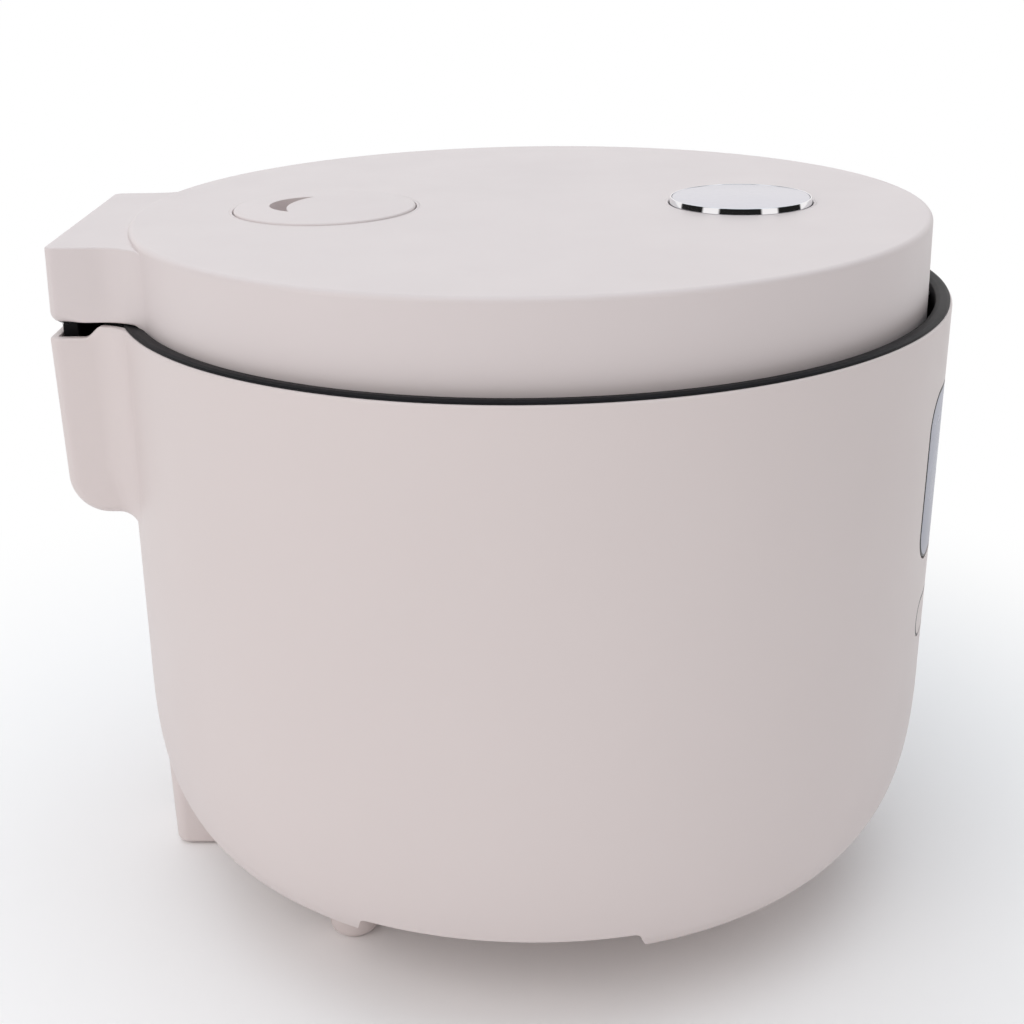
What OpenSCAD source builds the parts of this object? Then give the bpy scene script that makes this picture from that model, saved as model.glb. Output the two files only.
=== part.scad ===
// Electric cooker with a hinged lid, a lift-out pot and a push-button latch.
// +X is the front with the display, -X the hinge, +Z up. The origin is on the table
// under the middle of the object's box. The pot axis stands at x = axis_x.
// The rim and everything that hangs from it share one plane that rises to the front.

/* [Body] */
// Outer radius of the body at its rim
rim_r = 120; // [119:0.5:122]
// Height of the rim plane above the table, on the pot axis
rim_z = 183.5; // [182:0.5:190]
// Slope of the rim plane, rising to the front, in degrees
rim_tilt = 0.86; // [0:0.01:1]
// Lean of the body wall: loss of radius for each mm going down
wall_draft = 0.0066; // [0:0.0001:0.008]
// Wall thickness of the outer shell
shell_t = 2.5; // [2:0.1:2.8]
// Height of the underside of the base above the table
base_z = 18.3; // [16:0.1:19]
// Height of the rounded lower corner
corner_h = 57.7; // [54:0.1:60]
// Width of the rounded lower corner
corner_w = 35.3; // [33:0.1:36]
// Roundness of the lower corner: 2 is an ellipse, more is squarer
corner_power = 2.84; // [2.5:0.01:3]

/* [Rear hinge box] */
// Distance from the pot axis to the back of the body's box
box_reach = 133.2; // [132.6:0.1:134]
// How much less the body's box reaches at its lower corner
box_lean = 1.2; // [0:0.1:2]
// Half the width of both hinge boxes
box_half = 41.5; // [40:0.5:42]
// Height of the body's box
box_h = 53; // [50:1:56]
// Radius of the lower rear corner of the body's box
box_corner = 11; // [10:1:14]
// Concave radius where the boxes run into the round walls
box_blend = 10; // [8:1:12]
// Distance from the pot axis to the hinge pin
hinge_reach = 129; // [128.8:0.1:129.2]

/* [Lid] */
// Height of the lid's top above the rim plane
lid_h = 23.3; // [23:0.1:26]
// Outer radius of the lid at its top
lid_r = 114.1; // [113:0.1:114.1]
// How far the lid's centre lies behind the pot axis
lid_back = 0.9; // [0.6:0.1:1]
// Wall thickness of the lid cover
lid_t = 2.2; // [2:0.1:2.4]
// Distance of the vent cap behind the lid's centre
vent_back = 59.6; // [58:0.1:62]
// Radius of the vent cap
vent_r = 26.3; // [26:0.1:27.5]
// Distance of the lid button in front of the lid's centre
button_front = 61; // [58:0.1:61.5]
// Radius of the lid button
button_r = 20.6; // [19:0.1:21]
// Travel of the lid button
button_travel = 3; // [2:0.5:3]

/* [Pot and heater] */
// Outer radius of the pot's wall
pot_r = 96; // [94:0.5:97]
// Thickness of the pot's wall
pot_t = 1.5; // [1:0.1:2]
// Depth of the pot from its flange to its bottom
pot_depth = 123.5; // [120:0.5:124]
// Radius of the pot's lower corner
pot_corner = 28; // [24:1:32]
// Radius of the heating plate
heater_r = 66; // [60:1:67]

/* [Controls] */
// Half the width of the display panel, seen from the front
panel_half = 52.6; // [50:0.1:54]
// Height of the panel's lower edge above the table
panel_low = 114.5; // [112:0.5:118]
// Height of the panel's upper edge above the table
panel_high = 164; // [160:0.5:165]
// Height of the centre of the two keys above the table
key_z = 95.3; // [94:0.1:97]
// Length of each key
key_l = 27; // [24:1:28]
// Height of each key
key_h = 12; // [10:1:13]
// Travel of the keys
key_travel = 0.8; // [0.5:0.1:1]

/* [Hidden] */
$fn = 96;

cream = [0.85, 0.81, 0.80];
black = [0.13, 0.13, 0.14];
grey = [0.55, 0.55, 0.56];
metal = [0.75, 0.76, 0.78];
board = [0.16, 0.42, 0.25];
silicone = [0.80, 0.80, 0.78];

axis_x = (box_reach - rim_r) / 2;
gap = 0.3;                       // clearance between pieces that move apart
big = 400;                       // larger than the object, for cutting away
corner_z = base_z + corner_h;    // height at which the lower corner starts
corner_r = rim_r - (rim_z - corner_z) * wall_draft;
shell_foot_r = corner_r - corner_w + 9;   // radius at which the shell ends below
base_t = 2.5;
base_r = shell_foot_r - 0.4;
seam_z = 32.7;                   // shell edge over the side recesses
recess_rear = -47;
recess_front = 28;

shell_top = -0.45;               // shell edge, from the rim plane
box_top = -4;                    // edge of the body's box, from the rim plane
box_low = rim_z - 4 - box_h;     // underside of the body's box, above the table
notch_x = -122;                  // where the rim steps down to the box
body_blend = box_blend - 2;      // the body's box runs in a little tighter

ring_in = rim_r - 4.7;           // inner wall of the top frame
ring_skirt = rim_r - shell_t - gap;
ring_floor = -10;
seat_z = -13.5;                  // face that carries the pot's flange
seat_in = rim_r - 19.5;
tray_z = -10;

hinge_z = 0.2;                   // pin axis, from the rim plane
pin_r = 1.5;
knuckle_r = 3.2;
frame_knuckle = [26.2, 36];      // span of the frame's knuckles along the pin
lid_knuckle = [14, 25.9];        // span of the lid's knuckles along the pin

lid_low = -5;                    // lower edge of the lid's drum
lid_low_r = lid_r + 0.1;
lid_round = 1.6;
lid_box_reach = box_reach - 0.6 - lid_back;   // back of the lid's box, from the lid's centre
lid_box_low = 0.5;
lid_box_top = lid_h - 1.8;       // flat top of the box, a step below the drum
lid_base_z = -4.5;
lid_base_t = 2;
well_r = 25;                     // well under the vent cap
well_low = 7;
shelf_z = 11.2;                  // shelf that carries the button's spring
post_r = 4;                      // push post under the button
post_low = 3;
button_top = lid_h + 1.65;
plate_gap = 0.85;                // chrome rim left around the button's plate
flange_t = 1.2;                  // pot flange
pot_low = seat_z - pot_depth;
liner_in = rim_r - 20.7;
liner_t = 0.7;
liner_low = pot_low - 13.5;
heater_t = 9;
sensor_r = 15;

key_angle = asin(35 / rim_r);    // direction of each key, from the front
foot_r = 7.3;
foot_spots = [[62, 42], [62, -42], [-54, 59], [-54, -59]];
boss_angles = [38, 142, 218, 322];
boss_r = 86;
boss_top = 30.5;

// ---- frames of reference ----

module in_body() { translate([axis_x, 0, 0]) children(); }

module in_rim() { translate([axis_x, 0, rim_z]) rotate([0, -rim_tilt, 0]) children(); }

module in_lid() { in_rim() translate([-lid_back, 0, 0]) children(); }

module above_rim(z) { in_rim() translate([-big / 2, -big / 2, z]) cube([big, big, 100]); }

module both_sides() {
  children();
  mirror([0, 1, 0]) children();
}

// ---- plain shapes ----

// A block between two corners.
module block(low, high) { translate(low) cube(high - low); }

// A flat rectangle with round corners, between two corners.
module round_rect(low, high, r) {
  translate([low[0] + r, low[1]]) square([high[0] - low[0] - 2 * r, high[1] - low[1]]);
  translate([low[0], low[1] + r]) square([high[0] - low[0], high[1] - low[1] - 2 * r]);
  for (x = [low[0] + r, high[0] - r], y = [low[1] + r, high[1] - r])
    translate([x, y]) circle(r);
}

// A pin or roller along Y between y0 and y1, centred on [x, z].
module y_rod(x, z, r, y0, y1) {
  translate([x, y0, z]) rotate([-90, 0, 0]) cylinder(r = r, h = y1 - y0);
}

// A ring about Z.
module ring(r_in, r_out, z0, z1) {
  difference() {
    translate([0, 0, z0]) cylinder(r = r_out, h = z1 - z0);
    translate([0, 0, z0 - 1]) cylinder(r = r_in, h = z1 - z0 + 2);
  }
}

// A coil spring about Z: a round wire whose centre climbs on a cylinder.
function coil_point(r, wire, pitch, t, a) =
  [(r + wire * cos(a)) * cos(t), (r + wire * cos(a)) * sin(t), pitch * t / 360 + wire * sin(a)];

module coil(r, wire, pitch, turns, steps = 14, sides = 6) {
  n = round(turns * steps);
  points = [for (i = [0:n], k = [0:sides - 1])
    coil_point(r, wire, pitch, 360 * i / steps, 360 * k / sides)];
  skin = [for (i = [0:n - 1], k = [0:sides - 1]) let (j = (k + 1) % sides)
    [i * sides + k, i * sides + j, (i + 1) * sides + j, (i + 1) * sides + k]];
  start = [for (k = [sides - 1:-1:0]) k];
  finish = [for (k = [0:sides - 1]) n * sides + k];
  polyhedron(points, concat(skin, [start, finish]));
}

// ---- outer body ----

// Lower corner of the body, from the wall down to radius r_end, inset by t.
function corner(t, steps = 20) = [for (i = [0:steps]) let (a = 90 * i / steps)
  [corner_r - corner_w + (corner_w - t) * pow(cos(a), 2 / corner_power),
   corner_z - (corner_h - t) * pow(sin(a), 2 / corner_power)]];

module body_solid(t) {
  rotate_extrude() {
    polygon(concat(
      [[0, rim_z + 6], [rim_r - t + 6 * wall_draft, rim_z + 6]],
      corner(t),
      [[0, base_z + t]]));
  }
}

// Plan of a hinge box that runs into a round wall of radius wall_r.
module box_plan(reach, half, wall_r, blend) {
  cx = -sqrt(pow(wall_r + blend, 2) - pow(half + blend, 2));
  touch = wall_r / (wall_r + blend);
  round_rect([-reach, -half], [-reach + 60, half], 3);
  both_sides() difference() {
    polygon([[cx + 20, half - 1], [cx, half - 1], [cx, half + blend],
      [cx * touch, (half + blend) * touch], [cx * touch + 5, half]]);
    translate([cx, half + blend]) circle(blend);
  }
}

// Side view of the body's box, inset by t: leaning back, round lower corner, flat underside.
module box_side(t) {
  edge_z = rim_z - 5.5;
  low_reach = box_reach - box_lean;
  corner_x = -low_reach + box_corner;
  polygon([[-box_reach + t, 260], [-box_reach + t, edge_z], [-low_reach + t, box_low + box_corner],
    [corner_x + 50, box_low + box_corner], [corner_x + 50, 260]]);
  translate([corner_x, box_low + t]) square([50, 60]);
  translate([corner_x, box_low + box_corner]) circle(box_corner - t);
}

// The box's side view drawn out to half the width w.
module box_bar(t, w) { rotate([90, 0, 0]) translate([0, 0, -w]) linear_extrude(2 * w) box_side(t); }

// Concave run from the box's underside into the wall.
module box_underblend() {
  r = 5;
  wall = rim_r - (rim_z - box_low) * wall_draft;
  rotate([0, 0, 90]) rotate_extrude() difference() {
    translate([wall - 2, box_low - r]) square([2 + r, r + 1]);
    translate([wall + r, box_low - r]) circle(r);
  }
}

module body_box() {
  intersection() {
    translate([0, 0, box_low - 10]) linear_extrude(80) box_plan(box_reach, box_half, rim_r - 0.6, body_blend);
    union() {
      box_bar(0, 80);
      difference() {
        box_underblend();
        block([-105, -80, 0], [200, 80, 200]);
      }
    }
  }
}

// Outline of the leg under the rear wall, inset and cut off at the height low.
module leg_block(inset, low) {
  intersection() {
    translate([-118, 0, 30]) rotate([0, -1.5, 0]) translate([0, 0, -40])
      linear_extrude(90) round_rect([inset, -14 + inset], [20 - inset, 14 - inset], 5 - inset);
    block([-140, -30, low], [-80, 30, 62]);
  }
}

// Leg that stops the cooker tipping back when the lid is up.
module rear_leg() {
  color(cream) in_body() difference() {
    leg_block(0, 0.5);
    leg_block(shell_t, 3);
    body_solid(0);
  }
}

module key_plan(grow) {
  round_rect([-key_l / 2 - grow, -key_h / 2 - grow], [key_l / 2 + grow, key_h / 2 + grow],
    key_h / 2 + grow - 0.01);
}

// Straight cutter for one key, along the key's own direction; side is 1 or -1.
module key_prism(side, grow, r0, r1) {
  rotate([0, 0, side * key_angle]) translate([r0, 0, key_z])
    rotate([90, 0, 90]) linear_extrude(r1 - r0) key_plan(grow);
}

module panel_prism(grow) {
  translate([60, 0, 0]) rotate([90, 0, 90]) linear_extrude(80)
    round_rect([-panel_half - grow, panel_low - grow], [panel_half + grow, panel_high + grow], 10 + grow);
}

// Inlet opening in the rear wall.
inlet_z = 74;
inlet_half = 15;
inlet_h = 22;

module outer_shell() {
  color(cream) difference() {
    in_body() union() {
      difference() {
        union() {
          body_solid(0);
          body_box();
        }
        body_solid(shell_t);
        intersection() {
          box_bar(shell_t, box_half - shell_t);
          block([-160, -80, 0], [-100, 80, 260]);
        }
        translate([0, 0, -1]) cylinder(r = shell_foot_r, h = base_z + 4);
        // side recesses that let air in under the body
        both_sides() translate([0, -60, 0]) rotate([90, 0, 0]) linear_extrude(90)
          polygon([[recess_rear - 4, base_z - 4], [recess_rear, seam_z], [recess_front, seam_z],
            [recess_front + 5, base_z - 4]]);
        // window and pocket for the display panel
        panel_prism(-4);
        difference() {
          panel_prism(0.25);
          body_solid(1.4);
        }
        for (side = [-1, 1]) key_prism(side, 0.25, 100, 130);
        block([-140, -inlet_half, inlet_z - inlet_h / 2], [-100, inlet_half, inlet_z + inlet_h / 2]);
      }
      // screw posts over the base, each tied to the wall by a rib
      for (a = boss_angles) rotate([0, 0, a]) {
        ring_at = base_z + base_t + gap;
        translate([boss_r, 0, 0]) ring(1.3, 4, ring_at, boss_top);
        difference() {
          block([boss_r + 3, -1, ring_at], [rim_r, 1, boss_top]);
          difference() {
            translate([0, 0, -1]) cylinder(r = rim_r + 10, h = 100);
            body_solid(shell_t - 0.5);
          }
        }
      }
    }
    above_rim(shell_top);
    in_rim() block([-140, -60, box_top], [notch_x, 60, 40]);
  }
}

module base_plate() {
  color(cream) in_body() difference() {
    union() {
      translate([0, 0, base_z]) cylinder(r = base_r, h = base_t);
      // sloping aprons that close the side recesses
      intersection() {
        rotate_extrude() polygon([[base_r - 3, base_z + 0.6], [base_r, base_z + 0.6],
          [base_r + 15.6, seam_z + 0.2], [base_r + 15.6, seam_z + 2], [base_r + 13, seam_z + 2],
          [base_r - 3, base_z + 3]]);
        both_sides() block([recess_rear + 1, -130, 0], [recess_front - 1, -60, 60]);
      }
    }
    for (s = foot_spots) translate([s[0], s[1], 0]) cylinder(r = 3.6, h = 60);
    for (a = boss_angles) rotate([0, 0, a]) translate([boss_r, 0, 0]) {
      translate([0, 0, base_z - 1]) cylinder(r = 1.7, h = 10);
      translate([0, 0, base_z - 1]) cylinder(r = 3.3, h = 2);
    }
    // cooling slots
    for (i = [-4:4]) translate([i * 8, 0, base_z - 1]) linear_extrude(6)
      round_rect([-1.5, -26], [1.5, 26], 1.49);
  }
}

module foot(i) {
  round_r = 5;
  color(cream) in_body() translate([foot_spots[i][0], foot_spots[i][1], 0]) {
    rotate_extrude() {
      square([foot_r - round_r, base_z]);
      translate([0, round_r]) square([foot_r, base_z - round_r]);
      intersection() {
        translate([foot_r - round_r, round_r]) circle(round_r);
        square([foot_r, round_r + 1]);
      }
    }
    cylinder(r = 3.5, h = base_z + base_t + 1.5);
  }
}

module foot_front_left() { foot(0); }
module foot_front_right() { foot(1); }
module foot_rear_left() { foot(2); }
module foot_rear_right() { foot(3); }

module base_screws() {
  color(metal) in_body() for (a = boss_angles) rotate([0, 0, a]) translate([boss_r, 0, 0]) {
    translate([0, 0, base_z - 0.9]) cylinder(r = 3, h = 1.9);
    translate([0, 0, base_z]) cylinder(r = 1.2, h = 10.5);
  }
}

// ---- black top frame with the hinge tray ----

module frame_profile() {
  top = shell_top + 1;
  polygon([[ring_skirt, shell_top], [rim_r - 0.6, shell_top], [rim_r - 0.6, top - 0.5],
    [rim_r - 0.9, top - 0.15], [rim_r - 1.3, top], [rim_r - 4, top - 0.15],
    [ring_in + 0.15, top - 0.45], [ring_in, top - 0.8],
    [ring_in, ring_floor], [seat_in + 4.5, ring_floor], [seat_in + 4.5, seat_z], [seat_in, seat_z],
    [seat_in, seat_z - 2], [seat_in + 7, seat_z - 2], [seat_in + 7, ring_floor - 2],
    [ring_skirt, ring_floor - 2]]);
}

module top_frame() {
  tray_half = box_half - shell_t - gap;
  color(black) in_rim() difference() {
    union() {
      difference() {
        rotate_extrude() frame_profile();
        // lower bead under the lid's box
        block([-140, -box_half - box_blend, 0.2], [-100, box_half + box_blend, 5]);
      }
      difference() {
        union() {
          block([-box_reach + shell_t + 0.6, -tray_half, tray_z - 2], [-100, tray_half, tray_z]);
          // raised edge of the tray along the box's back
          block([-box_reach + shell_t + 0.6, -tray_half, tray_z - 2],
            [-box_reach + shell_t + 1.8, tray_half, box_top - 0.6]);
          both_sides() {
            block([-box_reach + shell_t + 0.6, frame_knuckle[0], tray_z - 1],
              [-hinge_reach + knuckle_r, frame_knuckle[1], hinge_z]);
            y_rod(-hinge_reach, hinge_z, knuckle_r, frame_knuckle[0], frame_knuckle[1]);
          }
        }
        translate([0, 0, -60]) cylinder(r = ring_skirt - 0.5, h = 120);
      }
    }
    y_rod(-hinge_reach, hinge_z, pin_r + 0.02, -60, 60);
    // catch pocket for the latch nose
    block([ring_in - 2, -10, -6], [ring_skirt - 0.5, 10, -1.6]);
    for (a = [45:90:315]) rotate([0, 0, a]) translate([seat_in + 2.4, 0, seat_z - 3])
      cylinder(r = 1.25, h = 2.4);
  }
}

module hinge_pin() {
  color(metal) in_rim() y_rod(-hinge_reach, hinge_z, pin_r, -frame_knuckle[1], frame_knuckle[1]);
}

// Torsion spring on the pin, with one leg down on the tray.
module hinge_spring() {
  turns = 12;
  pitch = 1.15;
  mean_r = 2.35;
  color(metal) in_rim() translate([-hinge_reach, 0, hinge_z]) {
    rotate([-90, 0, 0]) translate([0, 0, -turns * pitch / 2]) coil(mean_r, 0.45, pitch, turns);
    translate([mean_r, -turns * pitch / 2, tray_z - hinge_z]) cylinder(r = 0.45, h = -tray_z + hinge_z);
  }
}

// ---- liner, pot and heater ----

// Profile of a cup: wall, round lower corner and flat bottom, as a closed outline.
function arc(cx, cz, r, a0, a1, steps = 8) =
  [for (i = [0:steps]) let (a = a0 + (a1 - a0) * i / steps) [cx + r * cos(a), cz + r * sin(a)]];

module cup(r_out, t, top, low, corner_out) {
  rotate_extrude() polygon(concat(
    [[r_out, top]], arc(r_out - corner_out, low + corner_out, corner_out, 0, -90), [[0, low]],
    [[0, low + t]], arc(r_out - corner_out, low + corner_out, corner_out - t, -90, 0), [[r_out - t, top]]));
}

module liner() {
  r = liner_in + liner_t;
  top = seat_z - 2;
  color(metal) in_rim() difference() {
    union() {
      cup(r, liner_t, top, liner_low, 16);
      ring(liner_in + 0.1, seat_in + 4.4, top - liner_t, top);
    }
    translate([0, 0, liner_low - 1]) cylinder(r = sensor_r + 5, h = 5);
    for (side = [-1, 1]) translate([side * 44, 0, liner_low - 1]) cylinder(r = 6, h = 5);
    for (a = [45:90:315]) rotate([0, 0, a]) translate([seat_in + 2.4, 0, top - 3])
      cylinder(r = 1.4, h = 6);
  }
}

module liner_screws() {
  color(metal) in_rim() for (a = [45:90:315]) rotate([0, 0, a]) translate([seat_in + 2.4, 0, 0]) {
    translate([0, 0, seat_z - 4.2]) cylinder(r = 1.9, h = 1.5);
    translate([0, 0, seat_z - 4.2]) cylinder(r = 1.2, h = 3.4);
  }
}

module inner_pot() {
  color(grey) in_rim() union() {
    cup(pot_r, pot_t, seat_z + flange_t, pot_low, pot_corner);
    ring(pot_r - pot_t, seat_in + 4, seat_z, seat_z + flange_t);
  }
}

module heating_plate() {
  top = pot_low - 0.1;
  color(metal) in_rim() difference() {
    union() {
      translate([0, 0, top - heater_t]) cylinder(r = heater_r, h = heater_t);
      for (a = [60, 180, 300]) rotate([0, 0, a]) translate([heater_r - 10, 0, liner_low + liner_t])
        cylinder(r = 5, h = top - heater_t - liner_low);
    }
    translate([0, 0, top - heater_t - 1]) cylinder(r = sensor_r + 1, h = heater_t + 2);
    // groove that shows where the heating tube is cast in
    ring(40, 41, top - 0.8, top + 1);
    ring(50, 51, top - 0.8, top + 1);
  }
}

module heater_terminals() {
  top = pot_low - 0.1 - heater_t;
  color(metal) in_rim() for (side = [-1, 1]) translate([side * 44, 0, top - 13]) {
    cylinder(r = 2, h = 13);
    translate([0, 0, 5]) cylinder(r = 4, h = 5);
  }
}

module thermal_fuse() {
  color("ivory") in_rim() translate([0, 40, liner_low - 2.4]) {
    rotate([0, 90, 0]) translate([0, 0, -12]) cylinder(r = 2.3, h = 24);
    block([-4, -6, 1.4], [4, 6, 2.4]);
  }
}

module pot_sensor() {
  top = pot_low - gap;
  color(metal) in_rim() {
    difference() {
      translate([0, 0, top - 11]) cylinder(r = sensor_r, h = 11);
      translate([0, 0, top - 12]) cylinder(r = sensor_r - 1.2, h = 10.5);
    }
    translate([0, 0, top - 6]) cylinder(r = 3, h = 5);
  }
}

bracket_z = liner_low - 7;

module sensor_spring() {
  top = pot_low - gap - 1.6;
  low = bracket_z + 0.9;
  wire = 0.6;
  turns = 5;
  color(metal) in_rim() translate([0, 0, low + wire])
    coil(8, wire, (top - low - 2 * wire) / turns, turns);
}

module sensor_bracket() {
  color(metal) in_rim() {
    block([-34, -6, bracket_z], [34, 6, bracket_z + 0.8]);
    for (side = [-1, 1])
      translate([side * 30, 0, bracket_z]) cylinder(r = 3.5, h = liner_low - bracket_z);
  }
}

// ---- display, keys and boards ----

module display_panel() {
  color([0.55, 0.56, 0.60]) in_body() intersection() {
    difference() {
      body_solid(0);
      body_solid(1.2);
    }
    panel_prism(0);
  }
}

board_x = 102.2;
board_t = 1.6;

module control_board() {
  color(board) in_body() difference() {
    block([board_x, -46, 86], [board_x + board_t, 46, 160]);
    for (y = [-42, 42], z = [90, 156]) translate([board_x - 1, y, z]) rotate([0, 90, 0])
      cylinder(r = 1.6, h = 5);
  }
}

module display_module() {
  color("dimgray") in_body() block([board_x + board_t, -26, 126], [112.6, 26, 154]);
}

key_stem = 113;                  // where a key's stem ends, from the pot axis
stem_r = 2.5;
plunger_x = (key_stem - key_travel) * cos(key_angle) - stem_r * sin(key_angle) - 0.2;

module key_switches() {
  face = board_x + board_t;
  color("dimgray") in_body() for (side = [-1, 1]) {
    block([face, side * 32 - 3, key_z - 3], [face + 1.6, side * 32 + 3, key_z + 3]);
    translate([face, side * 32, key_z]) rotate([0, 90, 0]) cylinder(r = 1.6, h = plunger_x - face);
  }
}

// A key: a slab of the wall's own curve, a flange that holds it in and a stem behind.
module key(side) {
  intersection() {
    difference() {
      body_solid(0);
      body_solid(shell_t);
    }
    key_prism(side, 0, 100, 130);
  }
  key_prism(side, -0.6, key_stem + 2, key_stem + 4.5);
  key_prism(side, 1.5, key_stem + 1, key_stem + 2.5);
  rotate([0, 0, side * key_angle]) translate([key_stem, 0, key_z]) rotate([0, 90, 0])
    cylinder(r = stem_r, h = 3);
}

module start_key() { color(cream) in_body() key(-1); }
module cancel_key() { color(cream) in_body() key(1); }

power_x = -116;

module power_board() {
  color(board) in_body() difference() {
    block([power_x - board_t, -35, 134], [power_x, 35, 166]);
    for (y = [-32, 32]) translate([power_x - 3, y, 163]) rotate([0, 90, 0]) cylinder(r = 1.6, h = 5);
  }
}

module relay() {
  color("steelblue") in_body() block([power_x - board_t - 10.5, -28, 140], [power_x - board_t, -12, 159]);
}

module capacitor() {
  color("darkslateblue") in_body() translate([power_x - board_t - 10.5, 0, 150]) rotate([0, 90, 0])
    cylinder(r = 7, h = 10.5);
}

module transformer() {
  color("goldenrod") in_body() {
    block([power_x - board_t - 10.5, 12, 140], [power_x - board_t, 30, 158]);
    block([power_x - board_t - 8.5, 10.5, 144], [power_x - board_t - 2, 31.5, 154]);
  }
}

pin_spots = [[-7, -1.5], [0, 2.5], [7, -1.5]];

module inlet_pin(p, grow) {
  z = inlet_z + p[1];
  block([-111.5, p[0] - 1 - grow, z - 2 - grow], [-99, p[0] + 1 + grow, z + 2 + grow]);
}

module power_inlet() {
  half = inlet_half - 0.2;
  high = inlet_h / 2 - 0.2;
  color(black) in_body() difference() {
    union() {
      block([-118.2, -half, inlet_z - high], [-102.5, half, inlet_z + high]);
      block([-115, -half - 2, inlet_z - high - 2], [-113.2, half + 2, inlet_z + high + 2]);
    }
    translate([-130, 0, inlet_z]) rotate([90, 0, 90]) linear_extrude(25.5)
      round_rect([-12, -8], [12, 8], 2);
    for (p = pin_spots) inlet_pin(p, 0.05);
  }
}

module inlet_pins() {
  color(metal) in_body() for (p = pin_spots) inlet_pin(p, 0);
}

// Leads tied along the liner from the rear boards to the front and down to the inlet.
module wiring_harness() {
  lead_r = 1.4;
  ring_r = 107;
  color("firebrick") in_body() {
    for (i = [0:2]) rotate([0, 0, 35]) rotate_extrude(angle = 120)
      translate([ring_r - 3.2 * (i % 2), 138 - 2.9 * i]) circle(lead_r, $fn = 24);
    for (i = [0:1]) rotate([0, 0, 190]) rotate_extrude(angle = 60)
      translate([ring_r - 2, 70 - 3 * i]) circle(lead_r, $fn = 24);
  }
}

// ---- lid ----

module drum_profile(t, low) {
  top = lid_h - t;
  side = lid_r - t;
  round_r = lid_round - t / 2;
  polygon(concat([[0, top]], arc(side - round_r, top - round_r, round_r, 90, 0),
    [[lid_low_r - t, low], [0, low]]));
}

module lid_box(inset) {
  reach = lid_box_reach - inset;
  half = box_half - inset;
  r = 3.4;
  intersection() {
    translate([0, 0, -10]) linear_extrude(60) {
      if (inset > 0)
        translate([-reach, -half]) square([50, 2 * half]);
      else
        box_plan(reach, half, lid_r - 0.3, box_blend);
    }
    difference() {
      rotate([90, 0, 0]) translate([0, 0, -80]) linear_extrude(160) {
        if (inset > 0)
          translate([-reach, lid_box_low - 5]) square([reach - 90, 60]);
        else {
          translate([-reach, lid_box_low + r]) square([reach - 90, 60]);
          translate([-reach + r, lid_box_low]) square([reach - 90 - r, 20]);
          translate([-reach + r, lid_box_low + r]) circle(r);
        }
      }
      block([-160, -80, lid_box_top - inset], [0, 80, 60]);
    }
  }
}

module lid_cover() {
  color(cream) difference() {
    in_lid() difference() {
      union() {
        difference() {
          union() {
            rotate_extrude() drum_profile(0, lid_low);
            lid_box(0);
          }
          difference() {
            rotate_extrude() drum_profile(lid_t, lid_low - 1);
            ring(104, 140, 18, 30);
          }
          lid_box(lid_t);
        }
        // well that holds the vent cap
        translate([-vent_back, 0, 0]) ring(well_r, well_r + 1.5, well_low - 1.5, lid_h - 1);
        translate([-vent_back, 0, well_low - 1.5]) cylinder(r = well_r + 1, h = 1.5);
        // guide for the button
        translate([button_front, 0, 0]) ring(post_r + 0.6, button_r + 1.9, shelf_z - 1.2, lid_h - 1);
        // screw posts
        for (a = [30, 90, 150, 210, 270, 330]) rotate([0, 0, a]) translate([100, 0, 0])
          ring(1.3, 3.8, lid_base_z + lid_base_t, lid_h - 1);
      }
      translate([-vent_back, 0, lid_h - 2]) cylinder(r = vent_r + gap, h = 10);
      translate([-vent_back, 0, well_low]) cylinder(r = well_r, h = 30);
      translate([-vent_back, 0, 0]) cylinder(r = 7.2, h = 30);
      translate([button_front, 0, shelf_z]) cylinder(r = button_r + gap, h = 40);
      // opening under the box, over the hinge
      block([-lid_box_reach - 2, -frame_knuckle[1] - 0.6, -10],
        [-lid_box_reach + 12, frame_knuckle[1] + 0.6, 4.2]);
      // slot for the latch nose
      block([100, -9, -6], [120, 9, 1.8]);
      // the drum's edge stops short over the hinge
      block([-140, -box_half + 0.01, -10], [-104.5, box_half - 0.01, lid_box_low]);
    }
  }
}

module lid_base() {
  r = lid_r - lid_t - 0.7;
  top = lid_base_z + lid_base_t;
  color(grey) difference() {
    union() {
      in_lid() difference() {
        union() {
          translate([0, 0, lid_base_z]) cylinder(r = r, h = lid_base_t);
          ring(r - 1.6, r, lid_base_z, 6);
          // latch guide
          both_sides() block([70, 9.4, top - 0.1], [104, 11, 2.6]);
          block([button_front + post_r + 1.9, -11, top - 0.1], [68, 11, 2.6]);
          // post that carries the inner lid plate
          translate([0, 0, -11]) cylinder(r = 4, h = 8);
        }
        block([-140, -box_half, lid_base_z - 1], [-104.8, box_half, lid_box_low]);
        for (a = [30, 90, 150, 210, 270, 330]) rotate([0, 0, a]) {
          translate([100, 0, lid_base_z - 1]) cylinder(r = 1.7, h = 4);
          translate([100, 0, 0]) cylinder(r = 4.2, h = 30);
        }
        translate([-vent_back, 0, lid_base_z - 1]) cylinder(r = 9.3, h = 10);
        translate([30, 30, lid_base_z - 1]) cylinder(r = 4.2, h = 10);
        block([100.4, -9.2, -6], [120, 9.2, 2]);
      }
      // hinge arms
      in_rim() both_sides() {
        y_rod(-hinge_reach, hinge_z, knuckle_r, lid_knuckle[0], lid_knuckle[1]);
        block([-hinge_reach, lid_knuckle[0], 0.9], [-105, lid_knuckle[1], 3.4]);
        block([-107.5, lid_knuckle[0], lid_base_z + 0.5], [-104, lid_knuckle[1], 3.4]);
      }
    }
    in_rim() y_rod(-hinge_reach, hinge_z, pin_r + 0.06, -60, 60);
  }
}

plate_z = -11.4;
plate_t = 1;
plate_r = rim_r - 23;

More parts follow.
